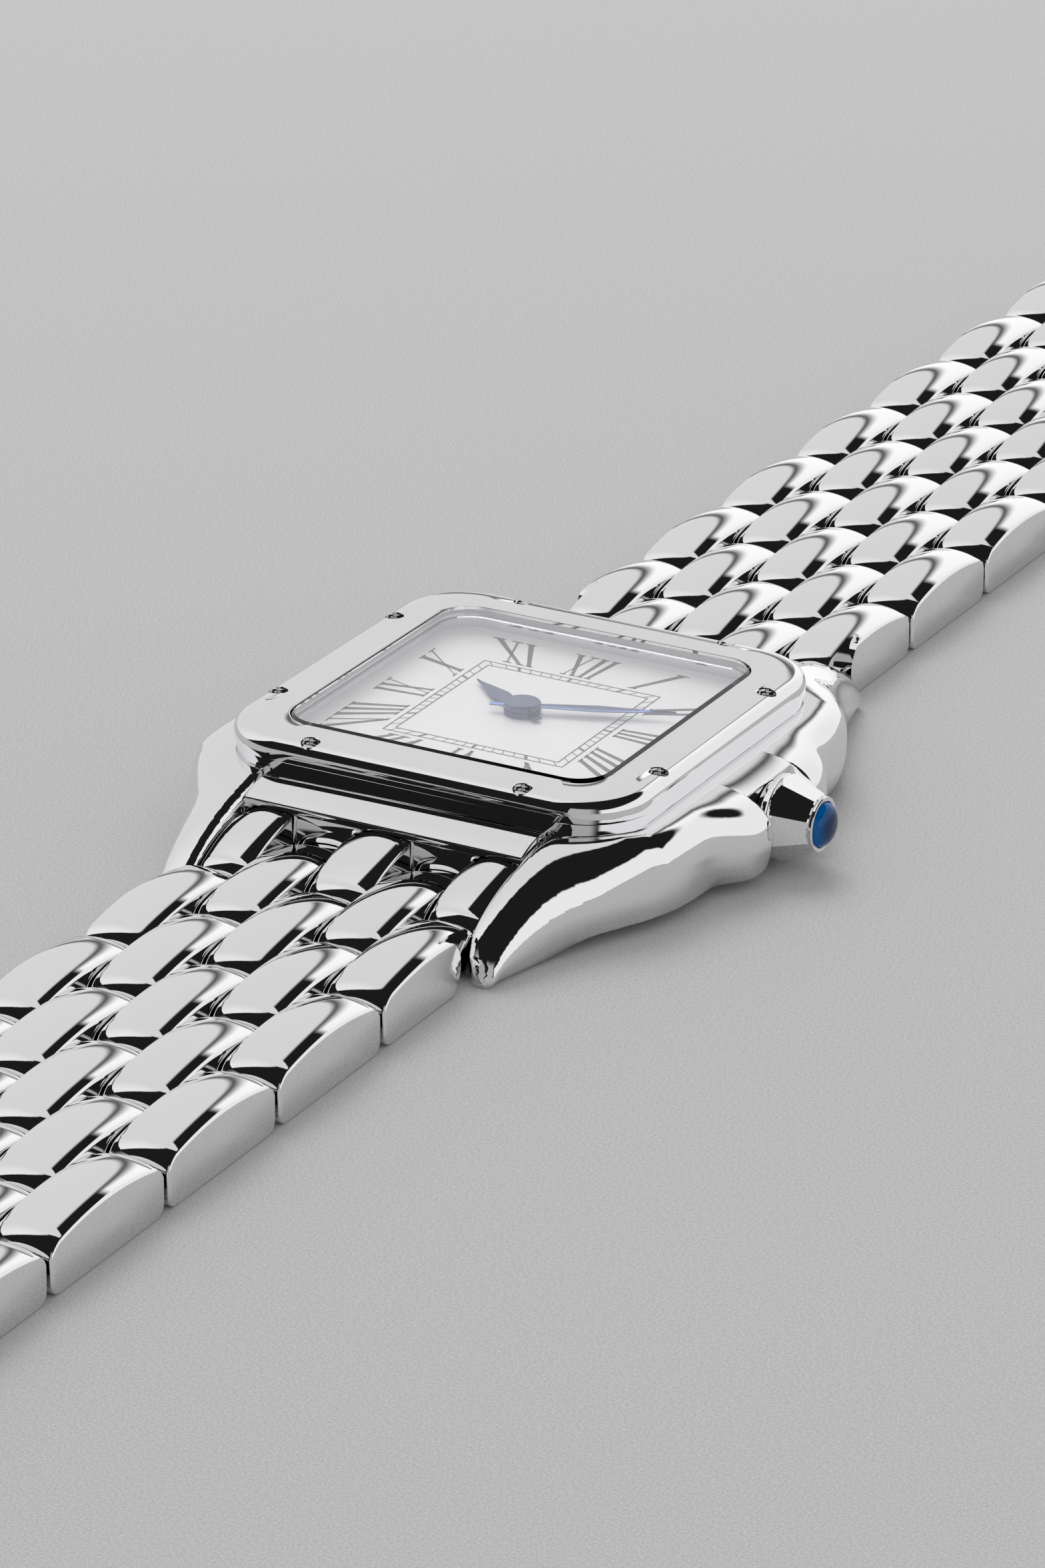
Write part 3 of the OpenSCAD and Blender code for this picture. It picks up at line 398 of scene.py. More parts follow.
class RailForm:
    """The solid form of one side rail with its two lugs, as a distance field."""

    def __init__(self, sizes, guards):
        self.half = sizes.rail_half / MM
        self.tip = sizes.lug_tip / MM
        self.top = sizes.deck / MM + 0.1
        self.under = sizes.rail_under / MM
        self.lug = sizes.lug_gap / MM
        self.guards = guards
        self.reach = sizes.guard_reach / MM
        self.recess = (CROWN_HIGH[1] - CROWN_LOW[1]) / 2 + 0.2
        self.along = np.linspace(-4, FAR, 1361)
        self.inset = evened(smooth_curve(RAIL_INSET, self.along), 28)
        shares = (self.along - self.recess) / (sizes.guard_length / MM)
        self.bulge = evened(smooth_curve(GUARD_SHARE, shares), 8)
        end = [(self.lug + a, self.tip - b) for a, b in TIP_CORNER]
        self.plan = [(RAIL_INNER, -FAR), (FAR, -FAR), (FAR, self.tip - 6), *end]
        self.plan += [(self.lug, STEP_OUTER), (RAIL_INNER, STEP_INNER)]

    def section(self, points, flat, spread):
        """Below zero inside the rail's rounded section, which narrows and sinks to the lug's tip. Beside the
        bezel, flat says how square the section is, and spread how much of it is spread out."""
        x, y, z = points.T
        lug = smooth_step(y, LUG_START, LUG_END)
        edge = self.half - np.interp(self.tip - y, self.along, self.inset)
        edge += self.reach * self.guards * np.interp(y, self.along, self.bulge) * (1 - spread)
        edge += (self.half + RAIL_SPREAD - edge) * (1 - lug) * spread
        start = self.half - RAIL_WIDTH + (self.lug - self.half + RAIL_WIDTH) * lug
        part = np.clip((y - self.tip + LUG_FALL) / LUG_FALL, 0, 1)
        top = self.top * (1 - part**2) ** 0.5
        middle = (1 - lug) * (self.under + WIDEST * (self.top - self.under)) + lug * WIDEST * top
        width = np.maximum(edge - start, LEAST)
        share = np.clip((x - start) / width, 0, None)
        rise = np.clip((z - middle) / np.maximum(top - middle, LEAST), 0, None)
        sink = np.clip((middle - z) / np.maximum(middle, LEAST), 0, 1)
        tuck = (1 - TUCK * lug) / width
        power = flat * (1 - lug) + LUG_POWER * lug
        share /= 1 - np.minimum(tuck, 0.5) * (1 - np.sqrt(1 - sink**2))
        return share**power + rise**TOP_POWER - 1

    def underside(self, points):
        """Below zero over the rail's underside, which reaches the table at the lugs."""
        start, end = (self.tip - a for a in LUG_SINK)
        return self.under * (1 - smooth_step(points[:, 1], start, end)) - points[:, 2]

    def __call__(self, points):
        """Distance of points from the rail's surface, negative inside, and its direction."""
        p = points.copy()
        p[:, 1] = np.abs(p[:, 1])
        soft = EDGE_WIDTH * np.clip((self.tip + 0.3 - p[:, 1]) / 5, 0.1, 1)
        f = sampled_form(lambda q: self.section(q, flat=4, spread=1), p)
        f = meet(f, sampled_form(lambda q: self.section(q, flat=10, spread=0), p), soft)
        f = meet(polygon_form(self.plan, p), f, soft)
        f = meet(f, sampled_form(self.underside, p), 0.3 * soft)
        if self.guards:
            x, h = self.half - 0.1, self.recess
            f = meet(f, inverse(polygon_form([(x, -h), (FAR, -h), (FAR, h), (x, h)], p)), 0.08)
        return f


def skin(form, stations):
    """Wraps a form, section by section along Y, as rings round each section's middle, and its normals."""
    sides, reach, halvings = 200, 6.0, 14
    grid_x, grid_z = np.linspace(6.9, 13.8, 36), np.linspace(0.1, 4.3, 24)
    x, y, z = np.meshgrid(grid_x, stations, grid_z, indexing="ij")
    inside = form(np.stack([x.ravel(), y.ravel(), z.ravel()], 1))[0].reshape(x.shape) < 0
    count = inside.sum((0, 2))
    kept = count > 0
    middle = [np.where(inside, c, 0).sum((0, 2))[kept] / count[kept] for c in (x, y, z)]
    centres = np.repeat(np.stack(middle, 1), sides, 0)
    circle = np.stack([np.cos(turns(sides)), np.zeros(sides), np.sin(turns(sides))], 1)
    spokes = np.tile(circle, (kept.sum(), 1))
    low, high = np.zeros(len(centres)), np.full(len(centres), reach)
    for _ in range(halvings):
        half = (low + high) / 2
        within = form(centres + spokes * half[:, None])[0] < 0
        low, high = np.where(within, half, low), np.where(within, high, half)
    points = centres + spokes * low[:, None]
    normals = form(points)[1]
    normals[:, 1:2] *= np.where(points[:, 1:2] < 0, -1, 1)
    return points.reshape(-1, sides, 3), normals.reshape(-1, sides, 3)


def smoothed(normals):
    """Normals blended with their neighbours on the skin, except across creases."""
    crease, rounds = 0.9, 110
    for _ in range(rounds):
        total = normals * 2
        for axis, way in ((0, 1), (0, -1), (1, 1), (1, -1)):
            near = np.roll(normals, way, axis)
            if axis == 0:
                edge = 0 if way == 1 else -1
                near[edge] = normals[edge]
            total += near * ((near * normals).sum(2, keepdims=True) > crease)
        normals = total / np.maximum(np.linalg.norm(total, axis=2, keepdims=True), 1e-9)
    return normals


def rail_part(form):
    """A whole side rail: the six o'clock half as sampled, and the other half mirrored."""
    stations, crowding = 200, 1.5
    y = -form.tip * (1 - np.linspace(0, 1, stations) ** crowding)
    y = np.sort(np.append(y, [-form.recess + step for step in (-0.12, -0.03, 0.03, 0.12)]))
    rings, normals = skin(form, y)
    flip = np.array([1, -1, 1])
    rings = np.concatenate([rings, rings[-2::-1] * flip])
    normals = smoothed(np.concatenate([normals, normals[-2::-1] * flip]))
    return tube(list(rings)), normals.reshape(-1, 3)


# Links


def arc(centre, radius, start, end, steps):
    """Points and outward normals of an arc in a profile's plane, angles in degrees."""
    a = np.radians(np.linspace(start, end, steps + 1))
    n = np.stack([np.cos(a), np.sin(a)], 1)
    return np.array(centre) + n * radius, n


def link_profile(sizes, height):
    """A whole link from the side: points and normals, along the bracelet and up, anticlockwise."""
    half = (sizes.pitch - sizes.gap) / MM / 2
    er, lr, drop = sizes.end_radius / MM, sizes.low_radius / MM, sizes.arch / MM
    big = (half**2 + drop**2) / (2 * drop)
    tangent = math.asin((half - er) / (big - er))
    end_z = height - big + (big - er) * math.cos(tangent)
    tilt = math.degrees(tangent)
    arcs = [
        arc((half - lr, lr), lr, -90, 0, 6),
        arc((half - er, end_z), er, 0, 90 - tilt, 8),
        arc((0, height - big), big, 90 - tilt, 90 + tilt, 22),
        arc((er - half, end_z), er, 90 + tilt, 180, 8),
        arc((lr - half, lr), lr, 180, 270, 6),
    ]
    return np.concatenate([p for p, _ in arcs]), np.concatenate([n for _, n in arcs])


def half_link_profile(sizes, length_, height):
    """A half link that stands with its flat end against the case."""
    er, lr, fall, low = sizes.end_radius / MM, sizes.low_radius / MM, 1.35, 0.2
    big = (length_**2 + fall**2) / (2 * fall)
    tangent = math.asin((length_ - er) / (big - er))
    end_z = height - big + (big - er) * math.cos(tangent)
    arcs = [
        arc((length_ - lr, low + lr), lr, -90, 0, 6),
        arc((length_ - er, end_z), er, 0, 90 - math.degrees(tangent), 8),
        arc((0, height - big), big, 90 - math.degrees(tangent), 90, 14),
    ]
    points = np.concatenate([[(0.0, low)]] + [p for p, _ in arcs])
    normals = np.concatenate([[(-0.7, -0.7)]] + [n for _, n in arcs])
    normals[-1] = (-0.7, 0.7)
    return points, normals


def link_part(profile, sizes, x0, x1):
    """A link between x0 and x1: the profile, drawn in towards the sides by a dome and a rounded edge."""
    points, normals = profile
    half, edge, drop = (x1 - x0) / 2, sizes.edge_radius / MM, sizes.dome / MM
    big = (half**2 + drop**2) / (2 * drop)
    flat = [(s, 0.0) for s in np.linspace(edge - half, half - edge, 11)]
    steps = np.radians((15, 35, 55, 75, 90))
    rim = [(half - edge + edge * math.sin(a), edge * (1 - math.cos(a))) for a in steps]
    up = np.maximum(normals[:, 1], 0)
    rings = []
    for s, inset in [(-s, i) for s, i in rim[::-1]] + flat + rim:
        fall = big - math.sqrt(big**2 - s * s)
        ring = points - normals * (inset + fall * up)[:, None]
        rings.append(np.column_stack([np.full(len(ring), s + (x0 + x1) / 2), ring]))
    return tube(rings)


# Finishes. Shader maths is written with Value, and other nodes come from Shader.node


class Value:
    """A socket of a shader that takes part in plain arithmetic."""

    def __init__(self, shader, socket):
        self.shader, self.socket = shader, socket

    def maths(self, operation, *others):
        """This socket and others through one Math node."""
        return self.shader.node("Math", {"operation": operation}, [self, *others])

    def __add__(self, other):
        return self.maths("ADD", other)

    def __sub__(self, other):
        return self.maths("SUBTRACT", other)

    def __rsub__(self, other):
        return self.shader.node("Math", {"operation": "SUBTRACT"}, [other, self])

    def __mul__(self, other):
        return self.maths("MULTIPLY", other)

    __radd__ = __add__
    __rmul__ = __mul__

    def step(self, low, high):
        """Smooth step from 0 at low to 1 at high."""
        limits = {"Value": self, "From Min": low, "From Max": high}
        return self.shader.node("MapRange", {"interpolation_type": "SMOOTHSTEP"}, limits)


class Shader:
    """The nodes of one material or world."""

    def __init__(self, owner):
        owner.use_nodes = True
        self.tree = owner.node_tree
        self.tree.nodes.clear()

    def node(self, kind, settings=None, values=(), out=0):
        """Adds a node, sets it and its sockets, and gives one output."""
        made = self.tree.nodes.new("ShaderNode" + kind)
        for key, setting in (settings or {}).items():
            setattr(made, key, setting)
        for key, value in values.items() if isinstance(values, dict) else enumerate(values):
            socket = made.inputs[key]
            if isinstance(value, Value):
                self.tree.links.new(value.socket, socket)
            elif socket.type == "RGBA":
                socket.default_value = (*value, 1)
            else:
                socket.default_value = value
        return Value(self, made.outputs[out]) if made.outputs else None

    def mix(self, factor, a, b):
        """Colour a where factor is 0 and b where it is 1."""
        return self.node("Mix", {"data_type": "RGBA"}, {0: factor, 6: a, 7: b}, out=2)

    def noise(self, scale, detail, stretch=(1, 1, 1), roughness=0.5):
        """Noise from 0 to 1 over the object, with scale in waves per metre."""
        where = self.node("TexCoord", out="Object")
        if stretch != (1, 1, 1):
            where = self.node("Mapping", None, {"Vector": where, "Scale": stretch})
        values = {"Vector": where, "Scale": scale, "Detail": detail, "Roughness": roughness}
        return self.node("TexNoise", None, values, out="Fac")

    def away(self, point):
        """Distance from a point of the object, in metres."""
        where = self.node("TexCoord", out="Object")
        return self.node("VectorMath", {"operation": "DISTANCE"}, [where, point], out="Value")

    def bump(self, height, strength, distance):
        """A normal from a height."""
        return self.node("Bump", None, {"Height": height, "Strength": strength, "Distance": distance})


def principled(name, **sockets):
    """A material with one Principled shader. Underscores in socket names stand for blanks."""
    material = bpy.data.materials.new(name)
    shader = Shader(material)
    values = {}
    for key, value in sockets.items():
        values[key.replace("_", " ")] = value(shader) if callable(value) else value
    surface = shader.node("BsdfPrincipled", None, values)
    shader.node("OutputMaterial", None, {"Surface": surface})
    return material


def shade(tone, share):
    """The tone, made lighter or darker by a share."""
    return [c * share for c in tone]


def polished(name, tone, rough=0.02, marks=0.02):
    """Mirror polish with the faint haze and hairlines of wear."""
    return principled(
        name,
        Base_Color=lambda s: s.mix(s.noise(180, 3).step(0.3, 0.8), tone, shade(tone, 0.975)),
        Metallic=1.0,
        Roughness=lambda s: rough + marks * s.noise(900, 4, (1, 0.15, 1)).step(0.45, 0.9),
    )


def mottled(name, tones, grain, rough, relief=None, **more):
    """A finish that noise varies. grain is the noise between its tones, rough is the lowest roughness, its
    range and their noise, and relief is a strength, a height in metres and their noise."""
    varied = {
        "Base_Color": lambda s: s.mix(s.noise(*grain), *tones),
        "Roughness": lambda s: rough[0] + rough[1] * s.noise(*rough[2:]),
    }
    if relief:
        varied["Normal"] = lambda s: s.bump(s.noise(*relief[2:]), *relief[:2])
    return principled(name, **varied, **more)


def brushed(name, tone, rough, along):
    """Fine brushing along one direction."""
    rough, relief = (rough, 0.12, 6000, 3, along), (0.25, 0.00001, 14000, 2, along)
    return mottled(name, (shade(tone, 0.88), tone), (9000, 2, along), rough, relief, Metallic=1.0)


def sapphire(name):
    """Clear sapphire that lets light through to the dial, with a faint violet coating."""
    material = bpy.data.materials.new(name)
    s = Shader(material)
    values = {"Base Color": (0.99, 0.99, 1.0), "Roughness": 0.0, "IOR": 1.77, "Transmission Weight": 1.0}
    values.update({"Specular IOR Level": 0.4, "Specular Tint": (0.93, 0.9, 1.0)})
    glass = s.node("BsdfPrincipled", None, values)
    clear = s.node("BsdfTransparent")
    shadow = s.node("LightPath", out="Is Shadow Ray")
    diffuse = s.node("LightPath", out="Is Diffuse Ray")
    mixed = s.node("MixShader", None, [shadow.maths("MAXIMUM", diffuse), glass, clear])
    s.node("OutputMaterial", None, {"Surface": mixed})
    return material


def cabochon(name, tone):
    """A blue stone with painted shade and light: darker towards its tip and lighter towards its rim, as light
    through a clear stone would make it.
    """
    tip = (STONE_END * MM, 0, CROWN_Z * MM)
    return principled(
        name,
        # Painted shade and light: the colour darkens near the stone's tip and brightens to the full tone
        # towards its rim, with a little random noise
        Base_Color=lambda s: s.mix(
            s.away(tip).step(0.0004, 0.0013) * (0.8 + 0.2 * s.noise(700, 2)), shade(tone, 0.16), tone
        ),
        Roughness=lambda s: 0.02 + 0.02 * s.noise(3000, 2),
        IOR=1.6,
        Specular_IOR_Level=0.25,
    )


def board(name):
    """Green lacquer with lighter tracks."""
    return principled(
        name,
        Base_Color=lambda s: s.mix(s.noise(2500, 2).step(0.48, 0.52), (0.02, 0.16, 0.06), (0.04, 0.26, 0.1)),
        Roughness=lambda s: 0.35 + 0.2 * s.noise(6000, 2),
    )


def build_finishes(look):
    """Every material of the watch, by name."""
    grain, winding = (1, 0.1, 1), (20000, 1, (0.05, 1, 0.05))
    lacquer, brushing = (0.12, 0.00001, 22000, 2), (0.2, 0.00001, 12000, 2, grain)
    dial, satin = (shade(look.dial, 0.97), look.dial), (0.42, 0.1, 16000, 2)
    ink = (look.ink, [c + 0.02 for c in look.ink])
    hands = (look.hands, shade(look.hands, 1.5))
    gilt = (look.brass, shade(look.brass, 0.85))
    black, white = ((0.012, 0.012, 0.012), (0.03, 0.03, 0.03)), ((0.72, 0.72, 0.74), (0.8, 0.8, 0.82))
    copper, wires = ((0.42, 0.14, 0.05), (0.72, 0.3, 0.14)), (0.5, 0.00003, *winding)
    return {
        "polished": polished("polished_steel", look.steel),
        "clasp": brushed("clasp_steel", shade(look.steel, 0.9), 0.26, (1, 0.04, 1)),
        "screw": polished("screw_steel", shade(look.steel, 0.8), 0.1, 0.08),
        "cell": brushed("battery_steel", shade(look.steel, 0.85), 0.2, (1, 1, 0.1)),
        "sapphire": sapphire("sapphire_crystal"),
        "stone": cabochon("blue_cabochon", look.stone),
        "board": board("green_board"),
        "dial": mottled("opaline_dial", dial, (2500, 4), satin, lacquer, Specular_IOR_Level=0.4),
        "ink": mottled("dial_print", ink, (9000, 3), (0.3, 0.1, 20000, 2)),
        "hands": mottled("blued_steel", hands, (1500, 3), (0.16, 0.1, 12000, 2), Metallic=1.0),
        "brass": mottled("gilt_brass", gilt, (3000, 3), (0.22, 0.12, 9000, 2, grain), brushing, Metallic=1.0),
        "gasket": mottled("black_gasket", black, (4000, 3), (0.45, 0.2, 9000, 2)),
        "white_gasket": mottled("white_gasket", white, (4000, 3), (0.35, 0.2, 9000, 2)),
        "copper": mottled("copper_wire", copper, winding, (0.25, 0.15, 9000, 2), wires, Metallic=1.0),
    }


FINISHES = {}


def finish(name):
    """One of the watch's finishes."""
    if not FINISHES:
        FINISHES.update(build_finishes(bpy.context.scene.watch_finish))
    return FINISHES[name]


def dress(name, *nodes, bevel=0.0):
    """Gives nodes of the frame that stay a finish, and a small bevel on their edges."""
    for node in nodes:
        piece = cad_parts[node]
        piece.data.materials.clear()
        piece.data.materials.append(finish(name))
        if bevel:
            weld = piece.modifiers.new("Weld", "WELD")
            weld.merge_threshold = 0.000001
            edge = piece.modifiers.new("Soft edges", "BEVEL")
            edge.width, edge.segments, edge.limit_method = bevel * MM, 2, "ANGLE"
            edge.angle_limit = math.radians(40)


# Operators: one for each group of like pieces


class WATCH_OT_case(bpy.types.Operator):
    """Side rails with lugs and crown guards, and the block between them"""

    bl_idname = "watch.case"
    bl_label = "Case"

    def execute(self, context):
        """Builds one piece for each rail, and one for the block."""
        s = context.scene.watch_case
        for side, guards in (("right", True), ("left", False)):
            part, normals = rail_part(RailForm(s, guards))
            if side == "left":
                part, normals = mirrored(part), normals * (-1, 1, 1)
            mesh = solid(f"case_rail_{side}", [part], normals)
            stands = ["case_middle"] if guards else []
            place(f"case_rail_{side}", mesh, "polished", "case", stands, "polished_steel", even=False)
        place("case_frame", self.block(s), "polished", "case", slot="polished_steel", even=False)
        return {"FINISHED"}

    @classmethod
    def block(cls, s):
        """The deck under the bezel, the wall round the movement, and both end walls and shoulders."""
        deck, under, top = s.deck / MM, s.rail_under / MM, s.bar_top / MM
        end = BEZEL_HIGH[1] + s.bar_depth / MM
        play, ledge, rim, thick, floor = 0.1, 1.1, 0.5, 0.8, 0.85
        pocket = (DIAL_HIGH[0] * 2 + play, DIAL_HIGH[1] * 2 + play, 2)
        aperture = (CRYSTAL_HIGH[0] * 2 - ledge, CRYSTAL_HIGH[1] * 2 - ledge, s.window_corner / MM)
        seat = (BEZEL_HIGH[0] * 2 - rim, BEZEL_HIGH[1] * 2 - rim, s.bezel_corner / MM - 0.3)
        parts = [frame_ring(seat, aperture, DIAL_HIGH[2], deck)]
        parts.append(frame_ring((seat[0], pocket[1] + thick, 2.4), pocket, floor, DIAL_HIGH[2]))
        width, wall, inner = 2 * s.lug_gap / MM, end - 0.1, pocket[1] / 2 + 0.1
        for way in (-1, 1):
            middle = way * (wall + inner) / 2
            parts.append(slab(width + 0.2, wall - inner, 0.05, under, top - 0.35, (0, middle)))
            parts.append(cls.shoulder(width - 0.02, end, top, deck + 0.05, way))
        return solid("case_frame", parts)

    @staticmethod
    def shoulder(width, end, low, high, way):
        """The polished shoulder: level beside the bezel, then down in a curve to a crisp front edge."""
        start, fall, r, steps = end - 1.85, 1.82, 0.05, np.radians((35, 60, 90))
        top = [(start - 1.5, high)]
        top += [(start + fall * u, high - (high - low) * u * u) for u in np.linspace(0, 1, 22)]
        top += [(end - r + r * math.sin(a), low - 0.01 - r * (1 - math.cos(a))) for a in steps]
        ring = np.array([(start - 1.5, low - 0.3), *top, (end, low - 0.3)])
        rings = []
        for x, inset in ((-width / 2, 0.05), (0.03 - width / 2, 0.015), (0.08 - width / 2, 0)):
            lowered = ring - np.outer(ring[:, 1] > low - 0.2, (0, inset))
            rings.append(np.column_stack([np.full(len(ring), x), lowered[:, 0] * way, lowered[:, 1]]))
        rings += [r * (-1, 1, 1) for r in rings[::-1]]
        return tube(rings)


class WATCH_OT_bezel(bpy.types.Operator):
    """Bezel with its rolled edge, and its eight screws"""

    bl_idname = "watch.bezel"
    bl_label = "Bezel"

    def execute(self, context):
        """Cuts the screws' bores in the bezel, and sets the slotted heads in them."""
        s = context.scene.watch_case
        top, head = BEZEL_HIGH[2], s.screw_width / MM / 2
        floor, sink, play, slot_width, slot_depth = 0.55, 0.2, 0.04, 0.17, 0.14
        spots = self.screw_spots(s.screw_spread / MM / 2)
        bore = [(head + play, top - floor), (head + play, top - 0.05)]
        bore += [(head + play + 0.03, top - 0.02), (head + play + 0.12, top + 0.04)]
        mesh = carve(self.ring(s), [lathe(bore, at) for at in spots])
        place("bezel_ring", mesh, "polished", "case", ["bezel"], "polished_steel")
        heads = [rod((x, y, top - floor), (x, y, top - sink), head, bevel=0.08) for x, y in spots]
        slots = [slab(2 * head + 0.4, slot_width, 0.02, top - sink - slot_depth, top, at) for at in spots]
        mesh = carve(solid("bezel_screw_heads", heads), slots)
        place("bezel_screw_heads", mesh, "screw", "case", ["bezel_screws"], "screw_steel")
        return {"FINISHED"}

    @staticmethod
    def ring(s):
        """The bezel's swept profile: rolled outside, falling a little outwards on top, and open inside."""
        deck, top, roll, fall = BEZEL_LOW[2], BEZEL_HIGH[2], s.bezel_roll / MM, 0.05
        lip, foot = CRYSTAL_LOW[2] + 0.4, 0.7
        start, rolled = top - roll - fall, np.radians(np.linspace(0, 84, 15))
        outer = [(0.14, deck), (0.14, deck + 0.37), (0.11, deck + 0.4), (0.02, deck + 0.43), (0, deck + 0.47)]
        outer += [(roll * (1 - math.cos(a)), start + roll * math.sin(a)) for a in rolled]
        outer += [(roll + 0.6 * u, top - fall * (1 - u) ** 2) for u in (0.25, 0.5, 0.75, 1)]
        inner = [(0.09, top), (0.03, top - 0.025), (0, top - 0.09), (0, lip), (foot, lip), (foot, deck)]
        x, y, corner = BEZEL_HIGH[0] * 2, BEZEL_HIGH[1] * 2, s.bezel_corner / MM
        rings = [rounded_rect(x - 2 * i, y - 2 * i, corner - i, z, 20) for i, z in outer]
        x, y, corner = CRYSTAL_HIGH[0] * 2 - 1.3, CRYSTAL_HIGH[1] * 2 - 1.3, s.window_corner / MM
        rings += [rounded_rect(x + 2 * i, y + 2 * i, corner + i, z, 20) for i, z in inner]
        return solid("bezel_ring", [tube(rings, wrap=True)], sharp=50)

    @staticmethod
    def screw_spots(spread):
        """Places of the two screws on each side."""
        x, y = BEZEL_HIGH[0] - 0.71, BEZEL_HIGH[1] - 0.58
        return [p for u in (-1, 1) for v in (-1, 1) for p in ((u * spread, v * y), (u * x, v * spread))]


class WATCH_OT_crystal(bpy.types.Operator):
    """Sapphire crystal with its bevelled rim"""

    bl_idname = "watch.crystal"
    bl_label = "Crystal"

    def execute(self, context):
        """Builds a foot under the bezel's lip with the clear block on it."""
        corner = context.scene.watch_case.window_corner / MM
        low, high, lip, bevel = CRYSTAL_LOW[2], CRYSTAL_HIGH[2], CRYSTAL_LOW[2] + 0.38, 0.12
        x, y = CRYSTAL_HIGH[0] * 2, CRYSTAL_HIGH[1] * 2
        rings = [rounded_rect(x, y, corner + 0.65, z, 16) for z in (low, lip)]
        for inset, z in ((0, lip), (0, high - bevel), (bevel, high)):
            size = 1.4 + 2 * inset
            rings.append(rounded_rect(x - size, y - size, corner - 0.05 - inset, z, 16))
        mesh = solid("crystal_glass", [tube(rings)], sharp=25)
        place("crystal_glass", mesh, "sapphire", "case", ["crystal"], "sapphire")
        dress("white_gasket", "crystal_gasket")
        return {"FINISHED"}


NUMERALS = ("XII", "I", "II", "III", "IIII", "V", "VI", "VII", "VIII", "IX", "X", "XI")
THICK, THIN = 0.26, 0.09  # strokes, in units of width
SERIF = 0.035  # a serif's height, as a share of the numeral's


def numeral_strokes(word):
    """A Roman numeral's strokes as quads (u, v), u across and v from 0 to 1 upwards, and its width."""
    strokes, u = [], 0.0

    def stem(x0, x1, thick):
        half = thick / 2
        strokes.append(((x0 - half, 0), (x0 + half, 0), (x1 + half, 1), (x1 - half, 1)))

    def serif(x, half, v):
        strokes.append(((x - half, v), (x + half, v), (x + half, v + SERIF), (x - half, v + SERIF)))

    for letter in word:
        if letter == "I":
            stem(u + 0.3, u + 0.3, THICK)
            serif(u + 0.3, 0.24, 0)
            serif(u + 0.3, 0.24, 1 - SERIF)
            u += 0.62
        elif letter == "V":
            stem(u + 0.62, u + 0.25, THICK)
            stem(u + 0.62, u + 0.98, THIN)
            serif(u + 0.25, 0.26, 1 - SERIF)
            serif(u + 0.98, 0.2, 1 - SERIF)
            u += 1.24
        else:
            stem(u + 1.0, u + 0.25, THICK)
            stem(u + 0.25, u + 1.0, THIN)
            for v in (0, 1 - SERIF):
                serif(u + 0.25, 0.24, v)
                serif(u + 1.0, 0.24, v)
            u += 1.28
    return strokes, u


class WATCH_OT_dial(bpy.types.Operator):
    """Opaline dial with Roman numerals and a square minute track"""

    bl_idname = "watch.dial"
    bl_label = "Dial"

    def execute(self, context):
        """Builds the plate, and its print as thin raised ink."""
        s = context.scene.watch_dial
        hole = (1.1, 1.1, 0.549)
        plate = frame_ring((DIAL_HIGH[0] * 2, DIAL_HIGH[1] * 2, 1.95), hole, DIAL_LOW[2], DIAL_HIGH[2])
        place("dial_plate", solid("dial_plate", [plate]), "dial", "case", ["dial"], "dial_white")
        inner, gap = (s.track_x / MM, s.track_y / MM), s.track / MM
        ink = self.numerals(inner, (s.numeral_x / MM, s.numeral_y / MM), gap + 0.3)
        place("dial_numerals", solid("dial_numerals", ink), "ink", "case")
        place("dial_track", solid("dial_track", self.track(inner, gap, s.line / MM)), "ink", "case")
        return {"FINISHED"}

    @classmethod
    def numerals(cls, inner, outer, start):
        """The numerals, which run along lines from the centre between the track and an outer rectangle."""
        ink, unit = [], math.radians(7.2)
        for hour, word in enumerate(NUMERALS):
            strokes, width = numeral_strokes(word)
            for stroke in strokes:
                ring = []
                for u, v in stroke:
                    a = math.radians(30 * hour) + (u - width / 2) * unit
                    low, high = cls.on_square(a, inner, start), cls.on_square(a, outer)
                    ring.append(low + (high - low) * v)
                ink.append(cls.printed(ring, 0.01))
        return ink

    @classmethod
    def track(cls, inner, gap, line):
        """The minute track: two squares, and sixty marks from one to the other."""
        ink, height = [], 0.008
        for inset in (0.0, gap):
            w, h = 2 * (inner[0] + inset), 2 * (inner[1] + inset)
            outside, inside = (w + line, h + line, 0.02), (w - line, h - line, 0.02)
            ink.append(frame_ring(outside, inside, DIAL_HIGH[2] - 0.01, DIAL_HIGH[2] + height, 1))
        for minute in range(60):
            start, end = (cls.on_square(math.radians(6 * minute), inner, inset) for inset in (0.0, gap))
            along = (end - start) / np.linalg.norm(end - start)
            side = np.array([-along[1], along[0]]) * (0.022 if minute % 5 else 0.07)
            ink.append(cls.printed([start - side, end - side, end + side, start + side], height))
        return ink

    @staticmethod
    def on_square(angle, half, inset=0.0):
        """Where a line from the centre, clockwise from twelve, meets a rectangle."""
        direction = np.array([math.sin(angle), math.cos(angle)])
        reach = min((h + inset) / max(abs(c), 1e-9) for h, c in zip(half, direction))
        return direction * reach

    @staticmethod
    def printed(ring, height):
        """A stroke of ink over a flat outline."""
        levels = (DIAL_HIGH[2] - 0.01, DIAL_HIGH[2] + height)
        return tube([np.column_stack([ring, np.full(len(ring), z)]) for z in levels])


